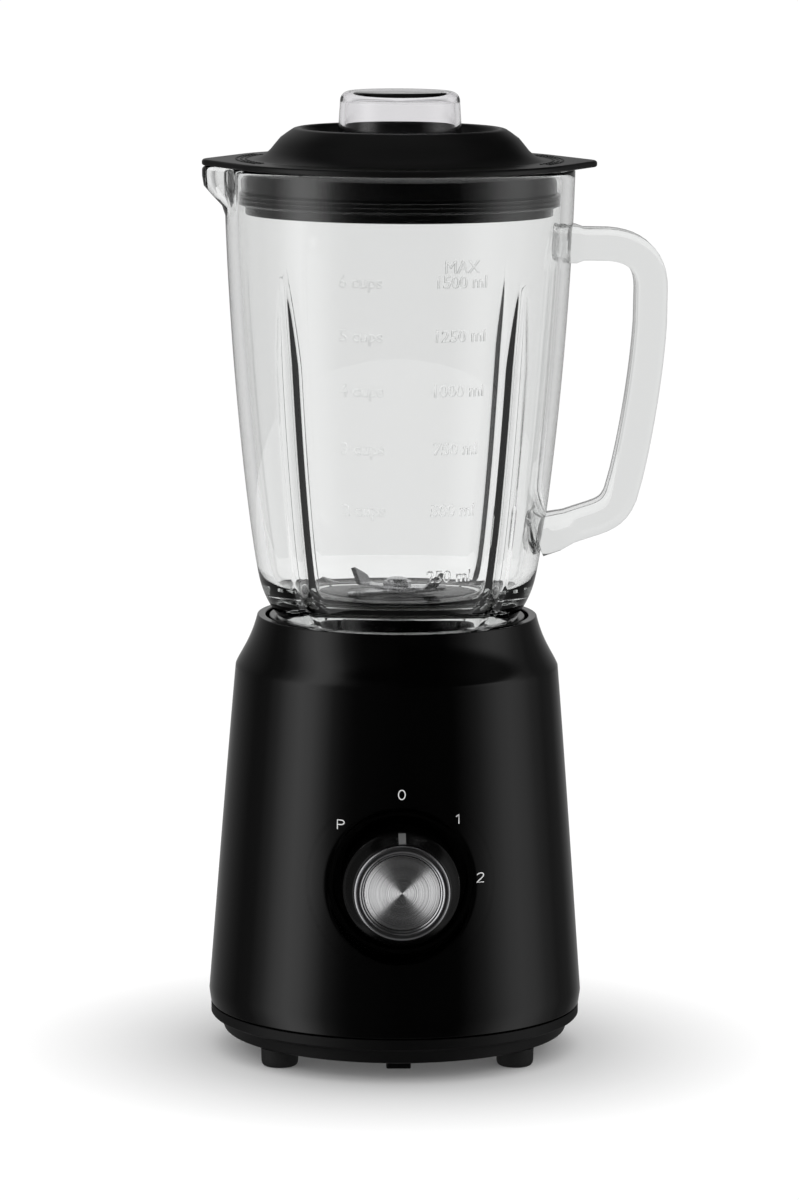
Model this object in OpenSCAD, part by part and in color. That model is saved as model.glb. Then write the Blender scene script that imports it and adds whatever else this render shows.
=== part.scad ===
// Countertop blender: a motor base with a rotary dial, a glass jar with a fused handle and spout,
// a press-in lid and a clear filler cap. Millimetres, +Z up. The origin is where the drive axis
// meets the table, the dial faces -Y, the handle points to +X and the spout to -X.

/* [Motor base] */
// Height of the motor base, to the top of its ring
base_h = 180.4; // [178:0.2:182]
// Radius of the motor base near its foot
base_r = 76.9; // [76:0.1:79]
// Radius of the crease where the cone turns into the neck
crease_r = 66.3; // [65:0.1:68]
// Outer radius of the ring that holds the jar
ring_r = 57.5; // [57:0.1:59]
// Wall of the motor base
base_wall = 2.8; // [2.2:0.1:3.2]
// Height of the seam between shell and bottom cover
seam_z = 18.7; // [17.5:0.1:19.5]
// Radius of a rubber foot
foot_r = 7.5; // [6:0.5:9]
// Foot centre, sideways from the drive axis
foot_x = 48; // [44:1:50]
// Foot centre, fore and aft of the drive axis
foot_y = 40; // [36:1:42]

/* [Dial] */
// Height of the dial's centre
dial_z = 81; // [78:1:84]
// Radius of the recess around the dial
recess_r = 31.8; // [31:0.1:33]
// Radius of the dial's opening
dial_hole_r = 27.2; // [26:0.1:28]
// Largest radius of the dial
dial_r = 23.6; // [22:0.1:25.2]
// Distance of the dial's face in front of the drive axis
dial_face = 88.5; // [86:0.1:91]

/* [Jar] */
// Height of the jar's rim
rim_z = 364; // [360:1:368]
// Outer radius of the jar's rim
rim_r = 71.4; // [70.5:0.1:72.5]
// Glass wall of the jar
glass_wall = 5.2; // [4.5:0.1:5.6]
// Reach of the spout from the drive axis
spout_reach = 80.3; // [78:0.1:81]
// Reach of the handle from the drive axis
handle_reach = 109.3; // [104:0.1:114]
// Half width of the handle, fore and aft
handle_half_w = 10.5; // [8:0.5:12]

/* [Lid] */
// Thickness of the lid's flange
flange_h = 2.6; // [2.2:0.1:3.2]
// Height of the dome above the jar's rim
dome_h = 15.7; // [14:0.1:17]
// Height of the filler cap above the jar's rim
cap_h = 30.5; // [28:0.5:34]

/* [Motor] */
// Bottom of the stator's laminations
core_z = 70; // [68:1:72]
// Height of the stator's laminations
core_h = 35; // [33:1:37]
// Radius of the armature
armature_r = 17.8; // [17:0.1:17.9]
// Radius of the motor shaft
shaft_r = 4; // [3.5:0.1:4.2]

/* [Blades] */
// Radius of the blade spindle
spindle_r = 4; // [3.5:0.1:4.2]
// Reach of the blades from the drive axis
blade_reach = 28.5; // [26:0.5:30]

/* [Hidden] */
$fn = 96;

// Running clearance of a shaft, and the gap between pieces that are fixed together
run = 0.05;
fit = 0.05;
// Gap between the round faces of pieces that lift apart
lift_gap = 0.4;

// Motor base
crease_z = 159;
curl_z = 24;
well_r = 54;
well_floor_z = 143;
well_floor_h = 3;
drive_hole_r = 16;
lug_w = 8;
lug_h = 15;
cover_floor_z = 7.5;
cover_floor_h = 2.5;
gland_z = 34;
gland_r = 3.5;
screw_places = [[26, 58], [-26, 58], [26, -58], [-26, -58]];
mount_places = [[42, 24], [-42, 24], [42, -24], [-42, -24]];
bolt_places = [[29.5, 27.8], [-29.5, 27.8], [29.5, -27.8], [-29.5, -27.8]];

// Dial, as distances in front of the drive axis
recess_face = 66;
dial_floor = 54;
switch_face = 51.6;
switch_back = 36.5;

// Jar, collar and blades
neck_r = 44.5;
neck_z = 163;
mouth_r = 34.5;
heel_z = 180.6;
heel_r = 49.3;
collar_r = 52.5;
collar_z = 143.3;
ledge_z = 157.4;
blade_base_z = 187.4;
coupling_z = 147.5;
star_h = 7;
blade_z = 188.9;
blade_thick = 1.2;
upper_blade_z = blade_z + 1.9;
nut_z = upper_blade_z + blade_thick + 0.1;

// Motor
bearing_r = 11;
bearing_h = 7;
upper_bearing_z = 120;
lower_bearing_z = 32;
bracket_z = 118;
commutator_z = 44;
commutator_r = 11;
brush_z = 50;
fan_z = 15;

// Point on a cubic Bezier curve, and a row of such points
function bezier(c, t) = pow(1 - t, 3) * c[0] + 3 * t * pow(1 - t, 2) * c[1]
    + 3 * t * t * (1 - t) * c[2] + pow(t, 3) * c[3];
function curve(c, steps) = [for (i = [0:steps]) bezier(c, i / steps)];
function moved(row, step) = [for (p = row) p + step];

// Corner points of an arc, from one angle to another
function arc(centre, r, from, to, steps = 6) =
    [for (i = [0:steps]) centre + r * [cos(from + (to - from) * i / steps),
                                       sin(from + (to - from) * i / steps)]];

// A tube along a path. Its section is an oval, flat across the path by one radius and
// as high as the other towards the given upright. A radius may change from ring to ring.
module tube(path, across, high, upright, sides = 12) {
    last = len(path) - 1;
    function ahead(i) = path[min(i + 1, last)] - path[max(i - 1, 0)];
    function unit(v) = v / norm(v);
    function size(r, i) = is_list(r) ? r[i] : r;
    function ring(i) =
        let (side = unit(cross(upright, ahead(i))), up = unit(cross(ahead(i), side)))
        [for (k = [0:sides - 1]) path[i] + size(across, i) * cos(360 * k / sides) * side
            + size(high, i) * sin(360 * k / sides) * up];
    faces = [for (i = [0:last - 1], k = [0:sides - 1])
        let (n = (k + 1) % sides, a = i * sides, b = a + sides)
        each [[a + k, b + k, b + n], [a + k, b + n, a + n]]];
    polyhedron([for (i = [0:last]) each ring(i)],
        concat(faces, [[for (k = [0:sides - 1]) k]],
            [[for (k = [sides - 1:-1:0]) last * sides + k]]), convexity = 6);
}

// A solid of revolution from a closed outline of radius and height
module turned(outline) {
    rotate_extrude(convexity = 6) polygon(outline);
}

// The same about the dial's axis, with heights measured forward from the drive axis
module turned_dial(outline) {
    translate([0, 0, dial_z]) rotate([90, 0, 0]) turned(outline);
}

module ring(r_out, r_in, z, h) {
    turned([[r_in, z], [r_out, z], [r_out, z + h], [r_in, z + h]]);
}

module at_each(places) {
    for (p = places) translate([p[0], p[1], 0]) children();
}

// ---- Motor base ----

// Outline of the base from its lower edge to the ring, as radius and height
side_line = concat(
    [[base_r - 0.7, seam_z + 0.3]],
    [[base_r - 0.2, seam_z + 2.3]],
    curve([[base_r, curl_z], [base_r - 2.9, 62], [crease_r + 3.4, 120], [crease_r, crease_z]], 8),
    curve([[crease_r - 0.1, crease_z + 0.8], [crease_r - 1.9, crease_z + 5.2],
        [ring_r + 2.7, crease_z + 10], [ring_r, base_h - 0.6]], 8),
    [[ring_r - 0.6, base_h]]);

module base_envelope() {
    turned(concat([[0, seam_z + 0.3]], side_line, [[0, base_h]]));
}

module base_skin() {
    well_wall_r = well_r + 2.5;
    turned(concat(side_line,
        [[well_r + 0.5, base_h], [well_r, base_h - 0.5], [well_r, well_floor_z],
         [drive_hole_r, well_floor_z], [drive_hole_r, well_floor_z - well_floor_h],
         [well_wall_r, well_floor_z - well_floor_h], [well_wall_r, base_h - 10],
         [crease_r - base_wall - 0.6, crease_z],
         [base_r - base_wall, curl_z], [base_r - base_wall - 0.6, seam_z + 0.3]]));
}

// The recess and cup that the dial sits in
module dial_cup() {
    intersection() {
        base_envelope();
        union() {
            forward(recess_face - 2.5, 84, recess_r + base_wall);
            forward(switch_face + 0.2, recess_face, dial_hole_r + base_wall);
        }
    }
}

module forward(from, to, r) {
    translate([0, -from, dial_z]) rotate([90, 0, 0]) cylinder(r = r, h = to - from);
}

module lugs() {
    for (turn = [45:90:315]) rotate(turn)
        translate([well_r - 3.2, -lug_w / 2, well_floor_z - 0.5]) cube([4, lug_w, lug_h]);
}

module base_shell() {
    color([0.02, 0.02, 0.022]) difference() {
        union() {
            base_skin();
            dial_cup();
            lugs();
            at_each(screw_places) translate([0, 0, seam_z + 0.8]) cylinder(r = 4.6, h = 22);
            for (p = screw_places) screw_web(p);
            at_each(mount_places) translate([0, 0, 128]) cylinder(r = 5.5, h = 12.5);
        }
        forward(recess_face, 90, recess_r);
        forward(dial_floor, recess_face + 1, dial_hole_r);
        forward(switch_face - 2, dial_floor + 1, 5 + fit);
        at_each(screw_places) translate([0, 0, seam_z]) cylinder(r = 1.9 + fit, h = 18);
        at_each(mount_places) translate([0, 0, 127]) cylinder(r = 1.9 + fit, h = 11.5);
        translate([0, 60, gland_z]) rotate([-90, 0, 0]) cylinder(r = 6 + fit, h = 20);
    }
}

// Web that ties a screw boss to the wall
module screw_web(p) {
    rotate(atan2(p[1], p[0])) translate([norm(p) + 3, -1.2, seam_z + 4.6]) cube([7.4, 2.4, 16.4]);
}

module base_cover() {
    low_r = 70.7;
    color([0.05, 0.05, 0.052]) difference() {
        union() {
            turned([[0, cover_floor_z], [low_r - 0.7, cover_floor_z], [low_r, cover_floor_z + 0.7],
                [low_r + 1.6, 12.5], [73.5, 13.6], [75.6, 14], [76.1, 14.6], [76.1, seam_z - 0.2],
                [72.9, seam_z - 0.2], [72.9, 23], [70.6, 23], [70.6, 13.5], [68.6, 10],
                [0, cover_floor_z + cover_floor_h]]);
            at_each(screw_places) translate([0, 0, cover_floor_z + 1]) cylinder(r = 6, h = 10.4);
            translate([-5, -56, 2]) cube([10, 6, 6]);
        }
        at_each(screw_places) {
            translate([0, 0, cover_floor_z - 1]) cylinder(r = 4.2, h = 7);
            translate([0, 0, cover_floor_z]) cylinder(r = 2.1, h = 20);
        }
        for (x = [-foot_x, foot_x], y = [-foot_y, foot_y])
            translate([x, y, cover_floor_z - 1]) cylinder(r = 3 + fit, h = 5);
        for (turn = [0:20:340]) rotate(turn)
            translate([14, -1.4, cover_floor_z - 1]) cube([18, 2.8, 5]);
    }
}

module foot(x, y) {
    color([0.03, 0.03, 0.03]) translate([x, y, 0])
        turned([[0, 0], [foot_r - 1.6, 0], [foot_r - 0.5, 0.5], [foot_r, 1.6],
            [foot_r + 0.2, cover_floor_z], [3, cover_floor_z], [3, 10.4], [3.8, 10.6],
            [3, 12.6], [0, 12.6]]);
}

module foot_front_left() { foot(-foot_x, -foot_y); }
module foot_front_right() { foot(foot_x, -foot_y); }
module foot_rear_left() { foot(-foot_x, foot_y); }
module foot_rear_right() { foot(foot_x, foot_y); }

// Screw along +Z with its head below, and a cross slot in the head
module screw(r, length, head_r, head_h) {
    difference() {
        union() {
            translate([0, 0, -head_h]) cylinder(r = head_r, h = head_h);
            translate([0, 0, -0.1]) cylinder(r = r, h = length);
        }
        for (turn = [0, 90]) rotate(turn)
            translate([-head_r * 0.6, -0.5, -head_h - 0.1]) cube([head_r * 1.2, 1, 1.3]);
    }
}

module cover_screws() {
    color("silver") at_each(screw_places) translate([0, 0, 13.5]) screw(1.9, 20, 3.8, 2.6);
}

// Bush that lines the cord's way through the rear wall
module cord_gland() {
    color([0.04, 0.04, 0.04]) translate([0, 0, gland_z]) rotate([-90, 0, 0])
        turned([[gland_r, 68], [8, 68], [8, 70.2], [6, 71.2], [6, 76.6], [8, 77.2], [8, 78.6],
            [7, 79.6], [gland_r + 0.8, 79.6], [gland_r, 78.8]]);
}

// ---- Switch and dial ----

module rotary_switch() {
    half = 14;
    color([0.55, 0.5, 0.42]) difference() {
        union() {
            translate([-half, -switch_face, dial_z - half])
                cube([2 * half, switch_face - switch_back, 2 * half]);
            forward(switch_face - 1, 61, 5);
        }
        forward(switch_face - 12, 62, 3 + run);
        for (x = [-9, 9], z = [-9, 9]) translate([x - 2, -switch_back - 2, dial_z + z - 0.5])
            cube([4, 3, 1]);
    }
}

module switch_nut() {
    color("silver") difference() {
        forward(dial_floor + 0.05, dial_floor + 3, 7.5, $fn = 6);
        forward(dial_floor - 1, dial_floor + 4, 5 + fit);
    }
}

// Wires from the switch to the two field coils and to a brush
module switch_leads() {
    routes = [
        [[9, 2.2 - switch_back, dial_z + 9], [12, -38, 116], [22, -34, 116], [21.4, -22, 109]],
        [[-9, 2.2 - switch_back, dial_z + 9], [-12, -38, 122], [-34, -14, 116], [-21.4, 20, 110]],
        [[-9, 2.2 - switch_back, dial_z - 9], [-10, -40, 56], [-36, -12, 58],
            [-34.4, -3, brush_z + 2]]];
    color([0.75, 0.1, 0.08]) for (r = routes)
        tube(curve(r, 14), 1.1, 1.1, [0.1, 0.2, 1], 8);
}

module suppression_capacitor() {
    color([0.85, 0.7, 0.2]) difference() {
        translate([-13, 43, cover_floor_z + cover_floor_h + 0.1]) cube([26, 9, 17]);
        for (x = [-13, 13]) translate([x, 43, 0]) rotate(45) cube([1.6, 1.6, 80], center = true);
    }
}

// Slope of the dial's skirt, as radius and distance forward
skirt_line = curve([[dial_r, dial_face - 10.5], [dial_r - 0.2, dial_face - 7.5],
    [21.3, dial_face - 5], [19.8, dial_face - 2.4]], 6);

module knob_body() {
    back = dial_face - 24;
    color([0.03, 0.03, 0.032]) difference() {
        union() {
            turned_dial(concat([[dial_r - 2, back], [dial_r, back]], skirt_line,
                [[19.3, dial_face - 2], [0, dial_face - 2], [0, 62.4], [5.5, 62.4],
                 [5.5, dial_face - 5], [17.4, dial_face - 5], [dial_r - 2.2, dial_face - 9.5]]));
            intersection() {
                turned_dial(concat(moved(skirt_line, [0.5, 0.3]), [[18, dial_face - 2.4],
                    [18, dial_face - 4.6], [22, dial_face - 9], [22, dial_face - 10.5]]));
                translate([-1.5, -dial_face, dial_z + 15]) cube([3, 14, 12]);
            }
        }
        forward(60, 76, 3 + fit);
    }
}

module knob_trim_ring() {
    color([0.85, 0.85, 0.87])
        turned_dial(concat([[15.4, dial_face - 1.9], [19.2, dial_face - 1.9]],
            arc([18, dial_face - 1.2], 1.2, 0, 90), [[16.6, dial_face], [15.8, dial_face - 0.7]]));
}

module knob_cap() {
    color([0.75, 0.75, 0.77])
        turned_dial([[0, dial_face - 1.9], [15.3, dial_face - 1.9], [15.3, dial_face - 1],
            [15, dial_face - 0.7], [0, dial_face - 0.7]]);
}

module switch_spindle() {
    color("silver") difference() {
        forward(switch_face - 11, 75.5, 3);
        translate([1.8, -76, dial_z - 5]) cube([4, 12, 10]);
    }
}

// ---- Motor, parts that stand still ----

module motor_upper_bracket() {
    plate_h = 4;
    color([0.7, 0.7, 0.72]) difference() {
        union() {
            for (p = mount_places) rotate(atan2(p[1], p[0])) translate([0, -5.5, bracket_z])
                cube([norm(p), 11, plate_h]);
            at_each(mount_places) translate([0, 0, bracket_z]) cylinder(r = 8, h = plate_h);
            translate([0, 0, bracket_z]) cylinder(r = 15, h = 11);
            at_each(bolt_places)
                translate([0, 0, core_z + core_h + 0.05])
                    cylinder(r = 4.5, h = bracket_z - core_z - core_h + plate_h - 0.05);
            for (p = bolt_places) rotate(atan2(p[1], p[0])) translate([10, -3.5, bracket_z])
                cube([norm(p) - 10, 7, plate_h]);
        }
        translate([0, 0, upper_bearing_z]) cylinder(r = bearing_r + fit, h = 20);
        translate([0, 0, bracket_z - 1]) cylinder(r = 7, h = 10);
        at_each(bolt_places) translate([0, 0, core_z]) cylinder(r = 2.1, h = 60);
        at_each(mount_places) translate([0, 0, bracket_z - 1]) cylinder(r = 4.2, h = 10);
    }
}

module motor_lower_bracket() {
    plate_z = lower_bearing_z + bearing_h - 3;
    color([0.7, 0.7, 0.72]) difference() {
        union() {
            translate([0, 0, plate_z]) linear_extrude(4) {
                for (p = bolt_places) rotate(atan2(p[1], p[0])) translate([0, -4]) square([norm(p), 8]);
                translate([-33, -6]) square([66, 12]);
            }
            translate([0, 0, lower_bearing_z - 1]) cylinder(r = 14, h = 10);
            at_each(bolt_places) translate([0, 0, plate_z - 1])
                cylinder(r = 4.5, h = core_z - plate_z + 0.95);
        }
        translate([0, 0, lower_bearing_z - 2]) cylinder(r = bearing_r + fit, h = bearing_h + 2);
        translate([0, 0, lower_bearing_z + 1]) cylinder(r = 7, h = 20);
        at_each(bolt_places) translate([0, 0, 20]) cylinder(r = 2.1, h = 60);
    }
}

// Rubber spools between the motor's bracket and the base
module motor_dampers() {
    color([0.15, 0.15, 0.15]) at_each(mount_places)
        turned([[2.2, 114.2], [6.5, 114.2], [6.5, 117.9], [4, 117.9], [4, 122.1], [6.5, 122.1],
            [6.5, 127.9], [2.2, 127.9]]);
}

module motor_mount_screws() {
    color("silver") at_each(mount_places) translate([0, 0, 114.1]) screw(1.9, 23, 4.5, 2.6);
}

module motor_through_bolts() {
    head_z = lower_bearing_z + bearing_h - 4.1;
    color("silver") at_each(bolt_places) translate([0, 0, head_z])
        screw(2, bracket_z + 7 - head_z, 3.8, 2.4);
}

// Lamination outline: a frame with two poles whose shoes curve round the armature
module stator_core() {
    bore_r = armature_r + 0.4;
    color([0.45, 0.46, 0.48]) translate([0, 0, core_z]) difference() {
        linear_extrude(core_h, convexity = 8) difference() {
            union() {
                difference() {
                    polygon([[-33, -27], [-29, -31.8], [29, -31.8], [33, -27], [33, 27], [29, 31.8],
                        [-29, 31.8], [-33, 27]]);
                    square([50, 50], center = true);
                }
                square([22, 52], center = true);
                difference() {
                    circle(r = bore_r + 3);
                    square([60, 12], center = true);
                }
            }
            circle(r = bore_r);
        }
        at_each(bolt_places) translate([0, 0, -1]) cylinder(r = 2.1, h = core_h + 2);
    }
}

// Winding round one pole
module field_coil() {
    color([0.72, 0.38, 0.16]) translate([0, 18.4, core_z + core_h / 2]) difference() {
        translate([-20, 0, -25]) cube([40, 6.3, 50]);
        translate([-11.3, -1, -18.2]) cube([22.6, 9, 36.4]);
        for (x = [-20, 20], z = [-25, 25]) translate([x, 3, z]) rotate([0, 45, 0])
            cube([6, 12, 6], center = true);
    }
}

module field_coil_front() { rotate(180) field_coil(); }
module field_coil_rear() { field_coil(); }

// Ball bearing: two grooved rings and a row of balls
module bearing(z) {
    mid = z + bearing_h / 2;
    groove = 1.7;
    color([0.8, 0.8, 0.82]) {
        turned(concat([[shaft_r + run, z], [6.6, z]], arc([7.5, mid], groove, 238, 122),
            [[6.6, z + bearing_h], [shaft_r + run, z + bearing_h]]));
        turned(concat([[bearing_r, z], [bearing_r, z + bearing_h], [8.4, z + bearing_h]],
            arc([7.5, mid], groove, 58, -58), [[8.4, z]]));
        for (turn = [0:45:315]) rotate(turn) translate([7.5, 0, mid]) sphere(r = 1.6, $fn = 24);
    }
}

module upper_bearing() { bearing(upper_bearing_z); }
module lower_bearing() { bearing(lower_bearing_z); }

// Two brass tubes that guide the brushes towards the commutator
module brush_holders() {
    color([0.75, 0.6, 0.25]) for (turn = [0, 180]) rotate(turn) difference() {
        translate([14.3, -4.5, 40.1]) cube([18.2, 9, brush_z + 4.6 - 40.1]);
        translate([12, -3.1, brush_z - 3.1]) cube([19, 6.2, 6.2]);
    }
}

module carbon_brushes() {
    color([0.12, 0.12, 0.12]) for (turn = [0, 180]) rotate(turn) difference() {
        translate([commutator_r + 0.02, -3, brush_z - 3]) cube([10.5, 6, 6]);
        translate([0, 0, brush_z - 10]) cylinder(r = commutator_r + 0.1, h = 20);
    }
}

module brush_springs() {
    rings = 5 * 9;
    coil = [for (i = [0:rings]) [22 + 8.4 * i / rings, 2.2 * cos(40 * i), brush_z + 2.2 * sin(40 * i)]];
    color([0.75, 0.75, 0.78]) for (turn = [0, 180]) rotate(turn)
        tube(coil, 0.35, 0.35, [1, 0, 0], 6);
}

// ---- Motor, parts that turn ----

module motor_shaft() {
    color("silver") translate([0, 0, 13]) cylinder(r = shaft_r, h = well_floor_z - 5.6);
}

module armature_core() {
    slots = 12;
    color([0.45, 0.46, 0.48]) translate([0, 0, core_z]) difference() {
        cylinder(r = armature_r, h = core_h);
        translate([0, 0, -1]) cylinder(r = shaft_r + fit, h = core_h + 2);
        for (i = [0:slots - 1]) rotate((i + 0.5) * 360 / slots) {
            translate([9.5, -1.3, -1]) cube([6.5, 2.6, core_h + 2]);
            translate([15, -0.5, -1]) cube([4, 1, core_h + 2]);
        }
    }
}

module armature_winding() {
    color([0.72, 0.38, 0.16]) for (z = [core_z - 8.4, core_z + core_h + 0.1])
        turned([[shaft_r + 1, z], [13.4, z], [15.4, z + 1.6], [16.4, z + 4.2], [15.4, z + 6.6],
            [13.4, z + 8.3], [shaft_r + 1, z + 8.3]]);
}

module commutator() {
    bars = 24;
    color([0.78, 0.45, 0.22]) difference() {
        ring(commutator_r, shaft_r + fit, commutator_z, 13);
        for (i = [0:bars - 1]) rotate(i * 360 / bars)
            translate([commutator_r - 0.8, -0.2, commutator_z - 1]) cube([2, 0.4, 12]);
    }
}

module cooling_fan() {
    blades = 10;
    color([0.9, 0.9, 0.86]) difference() {
        union() {
            translate([0, 0, fan_z]) cylinder(r = 7, h = 12.6);
            translate([0, 0, fan_z + 10.8]) cylinder(r = 31, h = 1.8);
            for (i = [0:blades - 1]) rotate(i * 360 / blades) translate([12, 0, fan_z]) rotate(24)
                cube([18, 1.6, 11.5]);
        }
        translate([0, 0, fan_z - 1]) cylinder(r = shaft_r + fit, h = 20);
    }
}

// Six-lobed drive star
module star(r, grow, h) {
    linear_extrude(h, convexity = 4) {
        circle(r = r * 0.72 + grow);
        for (turn = [0:60:300]) rotate(turn) translate([-1.8 - grow, 0]) square([3.6 + 2 * grow, r + grow]);
    }
}

module drive_coupler() {
    color([0.1, 0.1, 0.1]) difference() {
        union() {
            translate([0, 0, well_floor_z - 6]) cylinder(r = 14, h = 10);
            translate([0, 0, coupling_z - 1]) star(9.5, 0, star_h);
        }
        translate([0, 0, well_floor_z - 7]) cylinder(r = shaft_r + fit, h = 14.5);
    }
}

// ---- Jar ----

heel = curve([[heel_r, heel_z], [heel_r + 2.2, heel_z + 2.4], [heel_r + 5.3, heel_z + 7.4],
    [56.2, 194]], 4);
glass_line = [[56.2, 194], [59.7, 206.5], [rim_r - 1.7, rim_z - 80], [rim_r, rim_z]];

module jar_outside() {
    turned(concat([[0, neck_z], [neck_r - 0.8, neck_z], [neck_r, neck_z + 0.8], [neck_r, heel_z - 2],
        [neck_r + 1.5, heel_z - 0.8]], heel, [for (p = curve(glass_line, 16)) if (p[1] > 195
        && p[1] < rim_z - 2) p], [[rim_r, rim_z - 1.6], [rim_r - 1.2, rim_z], [0, rim_z]]));
}

module jar_inside() {
    inner = [for (p = moved(curve(glass_line, 16), [-glass_wall, 0])) if (p[1] > 199
        && p[1] < rim_z - 2) p];
    turned(concat([[0, neck_z - 1], [mouth_r, neck_z - 1], [mouth_r, 187], [mouth_r + 1.4, 188.4]],
        curve([[42, 188.6], [47, 189.2], [50.6, 192.5], [52.2, 199]], 4), inner,
        [[rim_r - glass_wall, rim_z - 1.4], [rim_r - glass_wall + 0.9, rim_z + 0.1], [0, rim_z + 0.1]]));
}

// Inner ribs that fold the liquid back into the blades
module jar_ribs() {
    steps = 14;
    line = curve(glass_line, steps);
    path = [for (i = [0:steps - 4]) [line[i][0] - glass_wall + 0.6, 0, line[i][1]]];
    sizes = [for (i = [0:steps - 4]) max(0.4, min(3.4, (steps - 4 - i) * 0.85))];
    for (turn = [45:90:315]) rotate(turn)
        tube(concat([[47, 0, 188], [50.2, 0, 191]], path), concat([3.4, 3.4], sizes),
            concat([3.4, 3.4], sizes), [0, 1, 0], 10);
}

// Middle line of the handle, from the upper arm round to the lower one
handle_mid = handle_reach - 6.6;
handle_path = concat([[66, 0, 333], [74, 0, 333]],
    curve([[82, 333], [95, 333], [handle_mid, 328], [handle_mid, 315]], 6),
    curve([[handle_mid + 0.1, 308], [handle_mid - 0.3, 285], [handle_mid - 5.5, 254],
        [handle_mid - 9.3, 238]], 5),
    curve([[handle_mid - 10.3, 233.5], [handle_mid - 14, 221], [84, 222], [70, 217]], 6),
    [[57, 212.5]]);

// Glass handle, fused to the wall of the jar
module jar_handle() {
    path = [for (p = handle_path) len(p) == 3 ? p : [p[0], 0, p[1]]];
    wall = [for (p = moved(curve(glass_line, 16), [fit, 0])) if (p[1] > 195 && p[1] < rim_z - 2) p];
    color([0.75, 0.82, 0.84, 0.4]) difference() {
        tube(path, 6.5, handle_half_w, [0, 1, 0], 16);
        turned(concat([[0, 195]], wall, [[0, rim_z - 2]]));
    }
}

module spout_block() {
    tip_r = 6;
    hull() {
        translate([tip_r - spout_reach, 0, rim_z - 7.5]) cylinder(r = tip_r - 0.8, h = 7.5, $fn = 32);
        translate([tip_r - spout_reach, 0, rim_z - 6.3]) cylinder(r = tip_r, h = 5.2, $fn = 32);
        translate([-66.5, 0, rim_z - 17]) cylinder(r = 3, h = 16, $fn = 32);
        translate([-60, -16, rim_z - 6]) cube([2, 32, 6]);
    }
}

module jar() {
    color([0.75, 0.82, 0.84, 0.4]) difference() {
        union() {
            jar_outside();
            spout_block();
        }
        difference() {
            jar_inside();
            jar_ribs();
        }
        translate([-spout_reach + 8.2, 0, rim_z - 0.4]) rotate([0, 80, 0]) cylinder(r = 4.6, h = 24);
    }
}

// Ring that screws on to the jar's neck and holds the blade base
module jar_collar() {
    color([0.03, 0.03, 0.032]) difference() {
        turned([[48.5, collar_z], [collar_r - 0.6, collar_z], [collar_r, collar_z + 0.6],
            [collar_r, heel_z - 1.1], [collar_r - 0.6, heel_z - 0.5], [49.6, heel_z - 0.5],
            [46, heel_z - 1.3], [neck_r + 0.3, heel_z - 2.3], [neck_r + 0.3, ledge_z], [30, ledge_z],
            [30, ledge_z - 3], [46, ledge_z - 3], [48.5, ledge_z - 5.5]]);
        for (turn = [45:90:315]) rotate(turn)
            translate([well_r - 3.2 - lift_gap, -lug_w / 2 - lift_gap, collar_z - 1])
                cube([5, lug_w + 2 * lift_gap, lug_h + 1]);
    }
}

module jar_gasket() {
    color([0.85, 0.85, 0.82]) ring(neck_r - 0.4, mouth_r + 0.6, ledge_z + 3.1, 2.4);
}

// ---- Blade unit ----

module blade_base() {
    hub_r = 33;
    color([0.03, 0.03, 0.032])
        turned([[7 + fit, 160], [11.5, 160], [11.5, 183.6], [hub_r - 2.7, 183.6],
            [hub_r - 2.7, ledge_z + 0.1], [neck_r, ledge_z + 0.1], [neck_r, ledge_z + 3],
            [hub_r, ledge_z + 3], [hub_r, blade_base_z - 1], [hub_r - 1, blade_base_z],
            [9 + fit, blade_base_z], [9 + fit, 183.4], [7 + fit, 183.4]]);
}

module blade_bush() {
    color([0.65, 0.5, 0.25]) ring(7, spindle_r + run, 160.4, 22.8);
}

module spindle_seal() {
    color([0.1, 0.1, 0.1]) turned([[4.6, 183.6], [9, 183.6], [9, 187.2], [6, 187.2], [4.3, 186.4],
        [4.3, 185.6], [6, 185]]);
}

module blade_spindle() {
    foot_z = coupling_z + star_h;
    color("silver") union() {
        translate([0, 0, foot_z]) cylinder(r = spindle_r, h = blade_z - foot_z - 1.5);
        translate([0, 0, 186]) cylinder(r = 3, h = nut_z - 184);
    }
}

// Spacers below and between the blades
module blade_spacers() {
    color("silver") {
        ring(8, 3 + fit, blade_z - 1.1, 1);
        ring(7, 3 + fit, blade_z + blade_thick + 0.1, 0.5);
    }
}

// Flat centre of a blade, with the hole that the spindle passes
module blade_centre(z) {
    difference() {
        union() {
            translate([0, 0, z]) cylinder(r = 8, h = blade_thick);
            translate([-12, -5.5, z]) cube([24, 11, blade_thick]);
        }
        translate([0, 0, z - 1]) cylinder(r = 3 + fit, h = 4);
    }
}

// Wing that tapers to a point
module wing(z) {
    translate([0, 0, z]) linear_extrude(blade_thick)
        polygon([[11.5, -5.5], [22, -4.4], [26, -3], [blade_reach, 0.5], [24.5, 2.6], [18, 4.2],
            [11.5, 5.5]]);
}

// Short wing whose end stands up as a fin
module finned_wing(z) {
    translate([0, 0, z]) linear_extrude(blade_thick)
        polygon([[11.5, -5.5], [16.6, -4.7], [16.6, 4.9], [11.5, 5.5]]);
    translate([16, 0, z]) rotate([0, -62, 0]) linear_extrude(blade_thick)
        polygon([[0, -4.7], [2.2, -4.2], [4.6, 0.5], [5.6, 5.2], [3, 5], [0, 4.9]]);
}

module lower_blade() {
    color([0.8, 0.8, 0.82]) rotate(43) {
        blade_centre(blade_z);
        for (turn = [0, 180]) rotate(turn) wing(blade_z);
    }
}

module upper_blade() {
    color([0.8, 0.8, 0.82]) rotate(-38) {
        blade_centre(upper_blade_z);
        for (turn = [0, 180]) rotate(turn) finned_wing(upper_blade_z);
    }
}

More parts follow.
